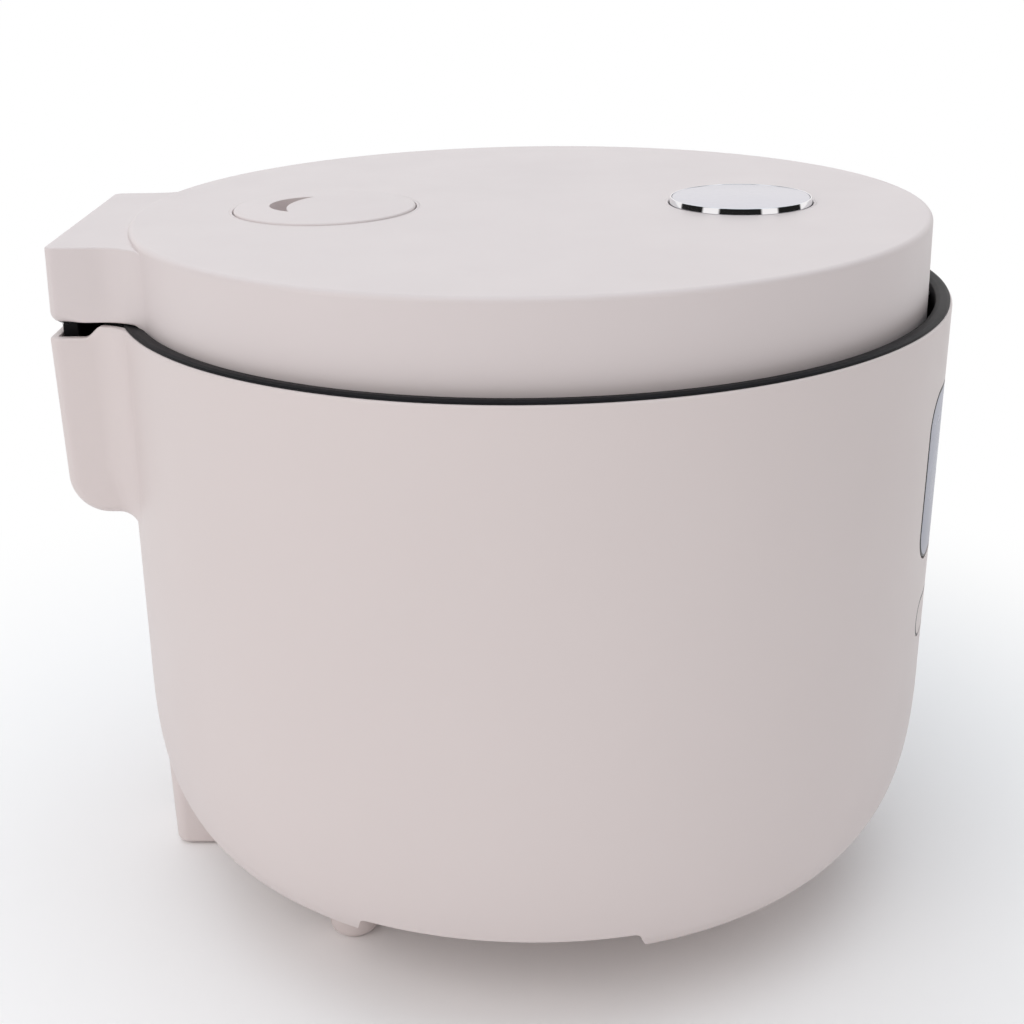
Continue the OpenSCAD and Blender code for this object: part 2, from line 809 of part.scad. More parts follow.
module inner_lid_plate() {
  color(metal) in_lid() difference() {
    union() {
      translate([0, 0, plate_z]) cylinder(r = plate_r, h = plate_t);
      ring(plate_r - 1, plate_r, plate_z, -7.5);
    }
    translate([0, 0, plate_z - 1]) cylinder(r = 6.6, h = 5);
    for (a = [0:60:300]) translate([-vent_back, 0, 0]) rotate([0, 0, a]) translate([3.6, 0, plate_z - 1])
      cylinder(r = 1.2, h = 5);
    translate([30, 30, plate_z - 1]) cylinder(r = 3.2, h = 5);
  }
}

module plate_grommet() {
  color(silicone) in_lid() difference() {
    union() {
      ring(4.05, 6.5, plate_z - 1.2, plate_z + 2.4);
      ring(4.05, 8.6, plate_z - 1.2, plate_z - 0.05);
      ring(4.05, 8.6, plate_z + plate_t + 0.05, plate_z + 2.4);
    }
  }
}

// Silicone seal: grips the plate's edge and lays a lip on the pot's flange.
module seal_ring() {
  lip = seat_z + flange_t + gap + 0.2;
  color(silicone) in_lid() rotate_extrude() polygon([
    [plate_r + 0.05, plate_z + 0.2], [plate_r + 0.05, -7.6], [plate_r + 2.2, -7], [plate_r + 3, -9],
    [plate_r + 6.2, lip + 1], [plate_r + 6.4, lip + 0.1], [plate_r + 2.4, lip + 0.4]]);
}

// Tube that leads steam from the inner plate up to the well.
module vent_tube() {
  color(silicone) in_lid() translate([-vent_back, 0, 0]) {
    ring(5, 7, plate_z + plate_t + 0.1, well_low + 1.4);
    ring(5, 9, plate_z + plate_t + 0.1, plate_z + plate_t + 2);
    ring(6.9, 9, well_low - 3, well_low - 1.6);
  }
}

module vent_cap() {
  top = lid_h + 0.5;
  disc_t = 2.2;
  edge = 0.5;
  low = well_low + 3;
  color(cream) in_lid() translate([-vent_back, 0, 0]) difference() {
    union() {
      rotate_extrude() polygon(concat([[0, top]], arc(vent_r - edge, top - edge, edge, 90, 0, 4),
        [[vent_r, top - disc_t], [0, top - disc_t]]));
      ring(22, 23.6, low, top - 1);
      translate([0, 0, low]) cylinder(r = 23, h = 1.4);
    }
    // crescent slot behind the middle
    difference() {
      translate([-6.8, 0, top - 6]) cylinder(r = 11.5, h = 10);
      translate([-1.2, 0, top - 7]) cylinder(r = 13, h = 12);
    }
    // steam holes in the cup's floor
    for (a = [0:60:300]) rotate([0, 0, a]) translate([16, 0, low - 1]) cylinder(r = 1.6, h = 4);
  }
}

module vent_cap_seal() {
  color(silicone) in_lid() translate([-vent_back, 0, 0]) ring(23.65, 24.7, well_low + 4, well_low + 6);
}

module lid_sensor() {
  color(metal) in_lid() translate([30, 30, 0]) {
    translate([0, 0, plate_z - 1.5]) cylinder(r = 3, h = 8);
    translate([0, 0, plate_z + plate_t + 0.1]) cylinder(r = 4, h = 9);
  }
}

module lid_button() {
  top = button_top;
  edge = 0.6;
  skirt = shelf_z + button_travel + 0.8;
  color(metal) in_lid() translate([button_front, 0, 0]) {
    difference() {
      rotate_extrude() polygon(concat([[0, top]], arc(button_r - edge, top - edge, edge, 90, 0, 5),
        [[button_r, skirt], [0, skirt]]));
      translate([0, 0, skirt - 1]) cylinder(r = button_r - 1.5, h = top - 1 - skirt);
      translate([0, 0, top - 0.45]) cylinder(r = button_r - plate_gap + 0.05, h = 5);
    }
    // post with a slanted foot over the latch's ramp
    difference() {
      translate([0, 0, post_low]) cylinder(r = post_r, h = top - 1 - post_low);
      translate([post_r, 0, post_low]) rotate([0, 45, 0]) translate([-40, -10, -20]) cube([60, 20, 20]);
    }
  }
}

module button_plate() {
  color([0.80, 0.80, 0.83]) in_lid() translate([button_front, 0, button_top - 0.45])
    cylinder(r = button_r - plate_gap, h = 0.5);
}

module button_spring() {
  wire = 0.5;
  turns = 4;
  low = shelf_z + 0.1;
  top = button_top - 2.1;
  color(metal) in_lid() translate([button_front, 0, low + wire])
    coil(6.5, wire, (top - low - 2 * wire) / turns, turns);
}

// Latch: a bar whose nose points at the catch, two rails back to the button and, between
// them, a ramp of 45 degrees that the button's post pushes to the rear.
module latch_slider() {
  nose = ring_in - 0.5 + lid_back;
  bar_low = lid_base_z + lid_base_t + gap;
  ramp_front = button_front + post_r + 1.3;
  ramp_z = post_low - 1.3 - 0.4;
  ramp_h = 7;
  color(grey) in_lid() {
    block([78, -9, bar_low], [104.2, 9, 1.2]);
    rotate([90, 0, 0]) translate([0, 0, -8.6]) linear_extrude(17.2)
      polygon([[104, 1.2], [104, -4.9], [nose - 3.5, -4.9], [nose, -2.9], [nose, -2.1], [nose - 3, -2.1],
        [nose - 3, 1.2]]);
    both_sides() {
      block([button_front - 6, 4.7, 3], [84, 7, 5.6]);
      block([80, 4.7, 1], [84, 7, 5.6]);
    }
    rotate([90, 0, 0]) translate([0, 0, -5]) linear_extrude(10)
      polygon([[button_front - 6, bar_low], [ramp_front, bar_low], [ramp_front, ramp_z],
        [ramp_front - ramp_h, ramp_z + ramp_h], [button_front - 6, ramp_z + ramp_h]]);
  }
}

module latch_spring() {
  wire = 0.4;
  turns = 5;
  x0 = 68.1;
  x1 = 77.9;
  color(metal) in_lid() translate([x0 + wire, 0, -0.5]) rotate([0, 90, 0])
    coil(1.4, wire, (x1 - x0 - 2 * wire) / turns, turns);
}

module lid_screws() {
  color(metal) in_lid() for (a = [30, 90, 150, 210, 270, 330]) rotate([0, 0, a]) translate([100, 0, 0]) {
    translate([0, 0, lid_base_z - 1.6]) cylinder(r = 3, h = 1.6);
    translate([0, 0, lid_base_z - 1.6]) cylinder(r = 1.2, h = 12);
  }
}

outer_shell();
rear_leg();
base_plate();
foot_front_left();
foot_front_right();
foot_rear_left();
foot_rear_right();
top_frame();
liner();
inner_pot();
heating_plate();
heater_terminals();
thermal_fuse();
pot_sensor();
sensor_spring();
sensor_bracket();
display_panel();
display_module();
control_board();
key_switches();
start_key();
cancel_key();
power_board();
relay();
capacitor();
transformer();
power_inlet();
inlet_pins();
wiring_harness();
hinge_pin();
hinge_spring();
base_screws();
liner_screws();
lid_cover();
lid_base();
inner_lid_plate();
plate_grommet();
seal_ring();
vent_tube();
vent_cap();
vent_cap_seal();
lid_sensor();
lid_button();
button_plate();
button_spring();
latch_slider();
latch_spring();
lid_screws();
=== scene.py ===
import math
import bpy
import bmesh
import numpy as np
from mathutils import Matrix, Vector


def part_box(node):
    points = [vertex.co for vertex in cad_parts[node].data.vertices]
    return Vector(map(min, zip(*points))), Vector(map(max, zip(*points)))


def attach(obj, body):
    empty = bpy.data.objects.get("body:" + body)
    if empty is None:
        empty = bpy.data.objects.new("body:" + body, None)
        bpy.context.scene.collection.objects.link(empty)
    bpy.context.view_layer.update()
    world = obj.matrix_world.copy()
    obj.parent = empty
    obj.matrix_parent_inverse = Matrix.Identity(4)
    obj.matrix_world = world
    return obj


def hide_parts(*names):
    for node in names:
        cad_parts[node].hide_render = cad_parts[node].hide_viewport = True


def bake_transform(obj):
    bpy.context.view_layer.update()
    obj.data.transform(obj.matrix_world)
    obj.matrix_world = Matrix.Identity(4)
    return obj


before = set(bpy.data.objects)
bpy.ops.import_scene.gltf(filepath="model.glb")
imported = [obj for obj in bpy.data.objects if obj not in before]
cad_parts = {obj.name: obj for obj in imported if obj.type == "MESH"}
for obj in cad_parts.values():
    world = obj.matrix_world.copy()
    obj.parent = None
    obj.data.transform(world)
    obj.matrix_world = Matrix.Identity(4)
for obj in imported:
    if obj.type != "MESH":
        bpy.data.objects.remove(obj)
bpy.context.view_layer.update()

mm = 0.001
whole = {"axisX": 6.6, "rimZ": 183.5, "tilt": 0.86, "lidBack": 0.9}   # the CAD's own frames, mm and degrees


# Rim frame to world: turned about Y by the tilt, then moved to the pot axis at rim height.
def fromRim(p):
    a = math.radians(whole["tilt"])
    q = np.empty_like(p)
    q[..., 0] = whole["axisX"] + p[..., 0] * math.cos(a) - p[..., 2] * math.sin(a)
    q[..., 1] = p[..., 1]
    q[..., 2] = whole["rimZ"] + p[..., 0] * math.sin(a) + p[..., 2] * math.cos(a)
    return q


# Lid frame to world: the rim frame moved back by the lid's offset.
def fromLid(p):
    q = np.array(p, float)
    q[..., 0] -= whole["lidBack"]
    return fromRim(q)


# Body frame to world: level, moved to the pot axis.
def fromBody(p):
    q = np.array(p, float)
    q[..., 0] += whole["axisX"]
    return q


# A new object for that mesh, lamp or camera, in the scene.
def addObject(name, data):
    new = bpy.data.objects.new(name, data)
    bpy.context.scene.collection.objects.link(new)
    return new


finish = {}   # every finish by name, filled in below


# points (n, 3) in mm in the frame that place turns into the world; faces is a list of index arrays;
# material is a name in finish.
def makePiece(name, points, faces, place, material, body, replaces=()):
    mesh = bpy.data.meshes.new(name)
    flat = [row for block in faces for row in np.asarray(block).tolist()]
    mesh.from_pydata((place(np.asarray(points, float)) * mm).tolist(), [], flat)
    mesh.validate()
    mesh.shade_smooth()
    piece = addObject(name, mesh)
    mesh.materials.append(finish[material])
    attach(piece, body)
    for node in replaces:
        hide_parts(node)
    return piece


# Quads of a rows by cols grid, rows running up and columns running anticlockwise.
def gridFaces(rows, cols, closeRows=False, closeCols=True, first=0):
    r = np.arange(rows if closeRows else rows - 1)[:, None]
    c = np.arange(cols if closeCols else cols - 1)[None, :]
    r2, c2 = (r + 1) % rows, (c + 1) % cols
    quad = np.stack(np.broadcast_arrays(r * cols + c, r * cols + c2, r2 * cols + c2, r2 * cols + c), -1)
    return quad.reshape(-1, 4) + first


# Points at radius r and height z in each direction theta: x = r cos theta, y = r sin theta.
def levelRow(r, z, theta):
    return np.stack([r * np.cos(theta), r * np.sin(theta), z + 0 * theta], -1)


# A closed outline of (radius, z) points carried round the axis.
def turned(profile, segments, centre=(0, 0)):
    profile = np.asarray(profile, float)
    r, z = profile[:, 0][:, None], profile[:, 1][:, None]
    return levelRow(r, z, np.arange(segments) * 2 * np.pi / segments) + [*centre, 0]


# A ring or disc from its outline, listed anticlockwise as seen with z up and r to the right.
def turnedPiece(name, profile, segments, place, material, body, replaces=(), centre=(0, 0)):
    profile = np.asarray(profile, float)
    grid = turned(profile, segments, centre)
    piece = makePiece(name, grid.reshape(-1, 3), [gridFaces(len(profile), segments, closeRows=True)],
                      place, material, body, replaces)
    cleanMesh(piece)
    return piece


# Merges points that fall together, drops faces that have no area and turns all normals outwards.
def cleanMesh(piece, distance=1e-6):
    bm = bmesh.new()
    bm.from_mesh(piece.data)
    bmesh.ops.remove_doubles(bm, verts=bm.verts, dist=distance)
    bmesh.ops.dissolve_degenerate(bm, edges=bm.edges, dist=distance)
    bmesh.ops.recalc_face_normals(bm, faces=bm.faces)
    bm.to_mesh(piece.data)
    bm.free()
    piece.data.shade_smooth()


# An outline with each corner turned into an arc: the arc's ends lie r / tan(half angle) from the corner.
def rounded(points, radii, steps=6):
    points = np.asarray(points, float)
    out = []
    n = len(points)
    for i in range(n):
        a, b, c = points[i - 1], points[i], points[(i + 1) % n]
        r = radii[i] if hasattr(radii, "__len__") else radii
        u, v = a - b, c - b
        lu, lv = np.hypot(*u), np.hypot(*v)
        if r <= 0 or lu < 1e-9 or lv < 1e-9:
            out.append(b)
            continue
        u, v = u / lu, v / lv
        half = math.acos(np.clip(u @ v, -1, 1)) / 2
        if half > 1.55:
            out.append(b)
            continue
        cut = min(r / math.tan(half), 0.49 * lu, 0.49 * lv)
        r = cut * math.tan(half)
        centre = b + (u + v) / np.hypot(*(u + v)) * (r / math.sin(half))
        p0, p1 = b + u * cut - centre, b + v * cut - centre
        a0 = math.atan2(p0[1], p0[0])
        sweep = (math.atan2(p1[1], p1[0]) - a0 + math.pi) % (2 * math.pi) - math.pi
        for k in range(steps + 1):
            t = a0 + sweep * k / steps
            out.append(centre + r * np.array([math.cos(t), math.sin(t)]))
    return np.array(out)


# Takes the cutter's space out of the piece, then keeps hard edges hard.
def cutAway(piece, cutter, sharp=40):
    cut = piece.modifiers.new("cut", "BOOLEAN")
    cut.operation = "DIFFERENCE"
    cut.solver = "EXACT"
    cut.object = cutter
    bpy.context.view_layer.objects.active = piece
    bpy.ops.object.modifier_apply(modifier=cut.name)
    bpy.data.objects.remove(cutter, do_unlink=True)
    piece.data.set_sharp_from_angle(angle=math.radians(sharp))


# Upright walls on closed outlines of (a, b) points between two heights, as one cutting body.
def prism(name, outlines, low, high, place):
    points, faces, first = [], [], 0
    for outline in outlines:
        outline = np.asarray(outline, float)
        n = len(outline)
        for h in (low, high):
            points.append(np.column_stack([outline, np.full(n, h)]))
        ring = np.arange(n)
        nxt = (ring + 1) % n
        faces += (np.stack([ring, nxt, nxt + n, ring + n], -1) + first).tolist()
        faces.append((ring[::-1] + first).tolist())
        faces.append((ring + n + first).tolist())
        first += 2 * n
    mesh = bpy.data.meshes.new(name)
    mesh.from_pydata((place(np.vstack(points)) * mm).tolist(), [], faces)
    cutter = addObject(name, mesh)
    cleanMesh(cutter)
    return cutter


def circleOutline(r, centre=(0, 0), n=96):
    t = np.arange(n) * 2 * np.pi / n
    return np.column_stack([centre[0] + r * np.cos(t), centre[1] + r * np.sin(t)])


# A rectangle with round corners between two corners, anticlockwise.
def boxOutline(low, high, r, steps=8):
    return rounded([low, (high[0], low[1]), high, (low[0], high[1])], r, steps)


# Joins two fields and fills the corner between them with a concave arc of radius r.
def roundUnion(a, b, r):
    u, v = np.maximum(r - a, 0), np.maximum(r - b, 0)
    return np.maximum(r, np.minimum(a, b)) - np.hypot(u, v)


# What two fields share, with the edge rounded to radius r.
def roundMeet(a, b, r):
    u, v = np.maximum(a + r, 0), np.maximum(b + r, 0)
    return np.minimum(-r, np.maximum(a, b)) + np.hypot(u, v)


# 0 below a, 1 above b and a smooth step between.
def smooth(x, a, b):
    t = np.clip((x - a) / (b - a), 0, 1)
    return t * t * (3 - 2 * t)


# Distance along each ray at which the field turns positive, by halving the interval 40 times.
def firstHit(field, origin, direction, reach=80.0):
    low = np.zeros(origin.shape[:-1])
    high = np.full(origin.shape[:-1], reach)
    for _ in range(40):
        mid = (low + high) / 2
        outside = field(origin + direction * mid[..., None]) > 0
        high = np.where(outside, mid, high)
        low = np.where(outside, low, mid)
    return (low + high) / 2


# Where rays leave the field: each starts on the ring (fromR, fromZ) at theta and rises at phi.
def fanPoints(field, theta, phi, fromR, fromZ):
    origin = levelRow(fromR, fromZ, theta)
    direction = levelRow(np.cos(phi), np.sin(phi), theta)
    return origin + direction * firstHit(field, origin, direction)[..., None]


# Angles round the axis, measured from the rear and the same on both sides, close together at the hinge box.
def rearAngles(dense=((0, 12, 10), (12, 16, 10), (16, 19.5, 28), (19.5, 27, 26), (27, 180, 130))):
    half = np.concatenate([np.linspace(a, b, n, endpoint=False) for a, b, n in dense])
    both = np.concatenate([half, [180], -half[:0:-1]])
    return np.sort(np.radians(180 + both) % (2 * np.pi))


# one of these widths, given in mm, is the band of painted shade round each key's face, standing in for the shade
# in the gap
controls = {"panelHalf": 52.6, "panelLow": 114.5, "panelHigh": 164.0, "panelR": 10.0, "gap": 0.35,
            "panelLine": 1.0, "keyGap": 0.2, "keyZ": 95.3, "keyL": 27.0, "keyH": 12.0, "keyLine": 0.7,
            "border": 0.25, "keyAngle": math.degrees(math.asin(35 / 120.0))}
panelMid = (controls["panelHigh"] + controls["panelLow"]) / 2
panelUp = (controls["panelHigh"] - controls["panelLow"]) / 2   # half the panel's height

print("helpers ready")


# Sets each input to a value or links it to a socket.
def setInputs(tree, node, inputs):
    for key, value in inputs.items():
        if hasattr(value, "is_linked"):
            tree.links.new(value, node.inputs[key])
        else:
            node.inputs[key].default_value = value


# A node of that kind with its inputs set; settings such as its operation are given by name.
def addNode(tree, kind, inputs, **settings):
    node = tree.nodes.new("ShaderNode" + kind)
    for key, value in settings.items():
        setattr(node, key, value)
    setInputs(tree, node, inputs)
    return node


# A new material with its node tree, its main shader and the socket of the piece's own coordinates.
def newMaterial(name):
    material = bpy.data.materials.new(name)
    material.use_nodes = True
    tree = material.node_tree
    return material, tree, tree.nodes["Principled BSDF"], addNode(tree, "TexCoord", {}).outputs["Object"]


# sRGB 0-255 to linear.
def linear(c):
    c = np.asarray(c, float) / 255
    return tuple(np.where(c <= 0.04045, c / 12.92, ((c + 0.055) / 1.055) ** 2.4)) + (1.0,)


def noise(tree, coord, scale, detail=3.0, rough=0.5):
    inputs = {"Vector": coord, "Scale": scale, "Detail": detail, "Roughness": rough}
    return addNode(tree, "TexNoise", inputs).outputs["Fac"]


# Maps a value between low and high to a number between outLow and outHigh.
def ramp(tree, value, low, high, outLow=0, outHigh=1):
    inputs = {"Value": value, "From Min": low, "From Max": high, "To Min": outLow, "To Max": outHigh}
    return addNode(tree, "MapRange", inputs).outputs["Result"]


# Inputs 6 and 7 and output 2 of a mix node are the ones for colours.
def mixColour(tree, share, a, b):
    return addNode(tree, "Mix", {0: share, 6: a, 7: b}, data_type="RGBA").outputs[2]


def calc(tree, operation, *values):
    return addNode(tree, "Math", dict(enumerate(values)), operation=operation).outputs[0]


def bump(tree, height, strength, distance):
    inputs = {"Strength": strength, "Distance": distance, "Height": height}
    return addNode(tree, "Bump", inputs).outputs["Normal"]


# A noise value from 0.3 to 0.7, where nearly all of it lies, mapped to a number between low and high.
def spreadOut(tree, value, low=0.0, high=1.0):
    return ramp(tree, value, 0.3, 0.7, low, high)


# The colour's darker tone where the noise is low and its lighter tone where it is high.
def twoTone(tree, value, colour, spread):
    base = np.array(linear(colour)[:3])
    return mixColour(tree, spreadOut(tree, value), (*(base * (1 - spread)), 1),
                     (*np.minimum(base * (1 + spread), 1), 1))


# Moulded plastic: a colour with slow drift, a fine grain in the surface and a drift in its gloss.
def mouldedPlastic(name, colour, spread=0.012, roughness=0.42, grain=1400, specular=0.5):
    material, tree, shader, coord = newMaterial(name)
    slow, patch = noise(tree, coord, 9, 2), noise(tree, coord, 45, 4, 0.6)
    fine = noise(tree, coord, grain, 2, 0.6)
    setInputs(tree, shader, {"Base Color": twoTone(tree, slow, colour, spread),
                             "Roughness": spreadOut(tree, patch, roughness - 0.03, roughness + 0.04),
                             "Normal": bump(tree, fine, 0.35, 0.00002), "Specular IOR Level": specular})
    return material


# Metal with slow tone drift; brushed stretches the fine noise along one axis, as a brush leaves it.
def plainMetal(name, colour, roughness, spread=0.03, brushed=None, scale=160, depth=0.00001):
    material, tree, shader, coord = newMaterial(name)
    if brushed is not None:
        coord = addNode(tree, "Mapping", {"Vector": coord, "Scale": brushed}).outputs["Vector"]
    fine = noise(tree, coord, scale, 5, 0.65)
    setInputs(tree, shader, {"Base Color": twoTone(tree, fine, colour, spread),
                             "Roughness": spreadOut(tree, fine, max(roughness - 0.05, 0.02), roughness + 0.06),
                             "Normal": bump(tree, fine, 0.3, depth), "Metallic": 1.0})
    return material


# colour and what differs from plain moulded plastic
plastics = {
    "creamPlastic": ((214, 203, 201), {}), "lidPlastic": ((214, 204, 203), {}),
    "greyPlastic": ((150, 150, 152), {}),
    "blackPlastic": ((20, 20, 22), {"roughness": 0.55, "specular": 0.15}),
    "ringPlastic": ((22, 22, 25), {"roughness": 0.5, "specular": 0.15}),
    "siliconeRubber": ((214, 214, 208), {"roughness": 0.62, "grain": 700}),
    "boardGreen": ((28, 92, 54), {"spread": 0.12, "roughness": 0.3}),
    "relayBlue": ((42, 96, 150), {"roughness": 0.28}), "sleeveBlue": ((30, 32, 78), {"roughness": 0.25}),
    "tapeYellow": ((196, 164, 60), {"spread": 0.08, "roughness": 0.4}),
    "ceramicWhite": ((226, 220, 206), {"roughness": 0.55}),
    "leadRed": ((150, 40, 34), {"spread": 0.1, "roughness": 0.45}),
}
metals = {
    "satinAluminium": ((196, 197, 200), {"roughness": 0.34, "scale": 60}),
    "brightSteel": ((190, 190, 192), {"roughness": 0.26, "scale": 220}),
    "chromeTrim": ((226, 227, 230), {"roughness": 0.06, "spread": 0.01, "scale": 80, "depth": 0.000001}),
    "buttonFilm": ((200, 201, 209), {"roughness": 0.3, "spread": 0.02, "brushed": (1, 30, 1), "scale": 90}),
}
finish.update({name: mouldedPlastic(name, tone, **how) for name, (tone, how) in plastics.items()})
finish.update({name: plainMetal(name, tone, **how) for name, (tone, how) in metals.items()})


# 1 in a border of a rounded rectangle that faces the direction turn, 0 inside it: the distance to the
# outline is the length of what lies beyond the corner centres, less the corner's radius.
def edgeBand(tree, coord, turn, midZ, halfWide, halfHigh, corner, width):
    moved = addNode(tree, "VectorMath", {0: coord, 1: (whole["axisX"] * mm, 0, 0)}, operation="SUBTRACT")
    faced = addNode(tree, "Mapping", {"Vector": moved.outputs["Vector"], "Location": (0, 0, -midZ * mm),
                                      "Rotation": (0, 0, -turn)})
    split = addNode(tree, "SeparateXYZ", {"Vector": faced.outputs["Vector"]}).outputs
    beyond = [calc(tree, "SUBTRACT", calc(tree, "ABSOLUTE", split[axis]), (half - corner) * mm)
              for axis, half in (("Y", halfWide), ("Z", halfHigh))]
    squares = [calc(tree, "POWER", calc(tree, "MAXIMUM", side, 0.0), 2.0) for side in beyond]
    flat = calc(tree, "MINIMUM", calc(tree, "MAXIMUM", *beyond), 0.0)
    distance = calc(tree, "ADD", calc(tree, "SQRT", calc(tree, "ADD", *squares)), flat)
    limit, soft = (corner - width) * mm, 0.1 * mm
    return ramp(tree, distance, limit, limit + soft)


# Dark non-stick coat: flecks of two sizes in the colour, and a fine orange-peel surface.
def nonStick(name, colour):
    material, tree, shader, coord = newMaterial(name)
    base = np.array(linear(colour)[:3])
    fleck, peel = noise(tree, coord, 900, 2, 0.7), noise(tree, coord, 260, 3, 0.5)
    tone = mixColour(tree, ramp(tree, fleck, 0.6, 0.72), (*base, 1), (*(base * 2.6), 1))
    setInputs(tree, shader, {"Base Color": tone, "Roughness": spreadOut(tree, peel, 0.3, 0.42),
                             "Normal": bump(tree, peel, 0.4, 0.00006)})
    return material


# Unlit display panel: one slow drift of tone from top to bottom under a clear gloss, with a dark edge.
def panelGloss(name, colour):
    material, tree, shader, coord = newMaterial(name)
    base = np.array(linear(colour)[:3])
    height = addNode(tree, "SeparateXYZ", {"Vector": coord}).outputs["Z"]
    drift = mixColour(tree, ramp(tree, height, 0.114, 0.164), (*(base * 0.93), 1),
                      (*np.minimum(base * 1.05, 1), 1))
    border = edgeBand(tree, coord, 0, panelMid, controls["panelHalf"], panelUp, controls["panelR"],
                      controls["panelLine"])
    setInputs(tree, shader, {"Base Color": mixColour(tree, border, drift, (0.02, 0.02, 0.024, 1)),
                             "Roughness": spreadOut(tree, noise(tree, coord, 30, 3), 0.24, 0.3),
                             "Specular IOR Level": 0.12})
    return material


# Cream plastic with a thin dark line round the key's face: painted shade that stands in for the shade in the gap
# round the key.
def keyGapShadePlastic(name, side):
    material = mouldedPlastic(name, plastics["creamPlastic"][0])
    tree, c = material.node_tree, controls
    colour = tree.nodes["Principled BSDF"].inputs["Base Color"]
    coord = addNode(tree, "TexCoord", {}).outputs["Object"]
    # painted shade: a near-black band along the key's border, where the gap round the key would lie in shade
    gapShade = edgeBand(tree, coord, side * math.radians(c["keyAngle"]), c["keyZ"], c["keyL"] / 2,
                    c["keyH"] / 2, c["keyH"] / 2, c["keyLine"])
    tree.links.new(mixColour(tree, gapShade, colour.links[0].from_socket, (0.06, 0.06, 0.065, 1)), colour)
    return material


finish["potCoat"] = nonStick("potCoat", (58, 58, 61))
finish["displayGloss"] = panelGloss("displayGloss", (160, 161, 176))

print("materials ready")


shell = {
    "rimR": 120.0, "draft": 0.0066, "wall": 2.5, "top": -0.45, "boxTop": -3.7, "stepX": (-122.8, -118.2),
    "cornerZ": 76.0, "cornerH": 57.7, "cornerW": 35.3, "power": 2.84, "footR": 93.0,
    "boxReach": 132.9, "boxLean": 1.2, "boxHalf": 41.5, "boxLow": 126.5, "boxCorner": 11.0, "boxEdge": 3.0,
    "sideBlend": 8.0, "underBlend": 5.0,
    "fanR": 88.0, "fanZ": 160.0, "fanLow": -52.5, "wallRows": (84, 93, 102, 110, 116), "edge": 0.7,
    "leanTop": 178.0, "barFront": -60.0, "blendRise": (1.0, 16.0),
}


def wallRadius(z):
    return shell["rimR"] - (whole["rimZ"] - z) * shell["draft"]


# Field of an upright bar with rounded corners that runs from the axis back to -reach.
def boxPlan(x, y, reach, half, corner):
    qx, qy = np.maximum(-x - (reach - corner), x - shell["barFront"]), np.abs(y) - (half - corner)
    return np.hypot(np.maximum(qx, 0), np.maximum(qy, 0)) + np.minimum(np.maximum(qx, qy), 0) - corner


# Round wall joined to the hinge box: concave arcs at its sides and below, a back that leans in going down
# and a round lower rear corner.
def bodyField(p):
    x, y, z = p[..., 0], p[..., 1], p[..., 2]
    drum = np.hypot(x, y) - wallRadius(z)
    c = shell["boxCorner"]
    cornerZ = shell["boxLow"] + c
    down = np.clip((shell["leanTop"] - z) / (shell["leanTop"] - cornerZ), 0, 1)
    reach = shell["boxReach"] - shell["boxLean"] * down
    qx, qz = np.maximum(-x - (reach - c), x - shell["barFront"]), cornerZ - z
    side = np.hypot(np.maximum(qx, 0), np.maximum(qz, 0)) + np.minimum(np.maximum(qx, qz), 0) - c
    bar = roundMeet(np.abs(y) - shell["boxHalf"], side, shell["boxEdge"])
    share = smooth(z - shell["boxLow"], *shell["blendRise"])
    return roundUnion(drum, bar, shell["underBlend"] + (shell["sideBlend"] - shell["underBlend"]) * share)


# Height of a plane of the rim frame above the table, at x from the pot axis.
def rimLine(x, level):
    a = math.radians(whole["tilt"])
    return whole["rimZ"] + x * math.tan(a) + level / math.cos(a)


insideR = 90.0   # a radius inside both the body's wall and the lid's


# Plan outline of a field at height z, and its inward normals in the plane.
def outlineAt(field, theta, z, inset=0.0):
    origin, direction = levelRow(insideR, z, theta), levelRow(1, 0, theta)
    p = origin + direction * firstHit(lambda q: field(q) + inset, origin, direction)[..., None]
    e = 0.01
    gx = field(p + [e, 0, 0]) - field(p - [e, 0, 0])
    gy = field(p + [0, e, 0]) - field(p - [0, e, 0])
    n = np.hypot(gx, gy)
    return p, np.stack([-gx / n, -gy / n, 0 * gx], -1)


# Height of the shell's edge: the rim plane, stepping down in an S to the box's edge.
def topEdge(theta):
    z = np.full_like(theta, whole["rimZ"])
    for _ in range(6):
        p = outlineAt(bodyField, theta, z)[0]
        behind = 1 - smooth(p[..., 0], *shell["stepX"])
        z = rimLine(p[..., 0], shell["top"] + (shell["boxTop"] - shell["top"]) * behind)
    return z


# Lower corner: r = cornerR - W + W (1 - s^p)^(1/p), with s the share of the corner's height gone down.
def cornerProfile(inset, endR, steps):
    w, h, k = shell["cornerW"], shell["cornerH"], shell["power"]
    base = wallRadius(shell["cornerZ"])
    a = np.linspace(0, 1, 400) * np.pi / 2
    r = base - w + (w - inset) * np.cos(a) ** (2 / k)
    z = shell["cornerZ"] - (h - inset) * np.sin(a) ** (2 / k)
    keep = r > endR
    r, z = np.append(r[keep], endR), np.append(z[keep], np.interp(-endR, -r, z))
    along = np.concatenate([[0], np.cumsum(np.hypot(np.diff(r), np.diff(z)))])
    s = np.linspace(0, along[-1], steps)
    return np.interp(s, along, r), np.interp(s, along, z)


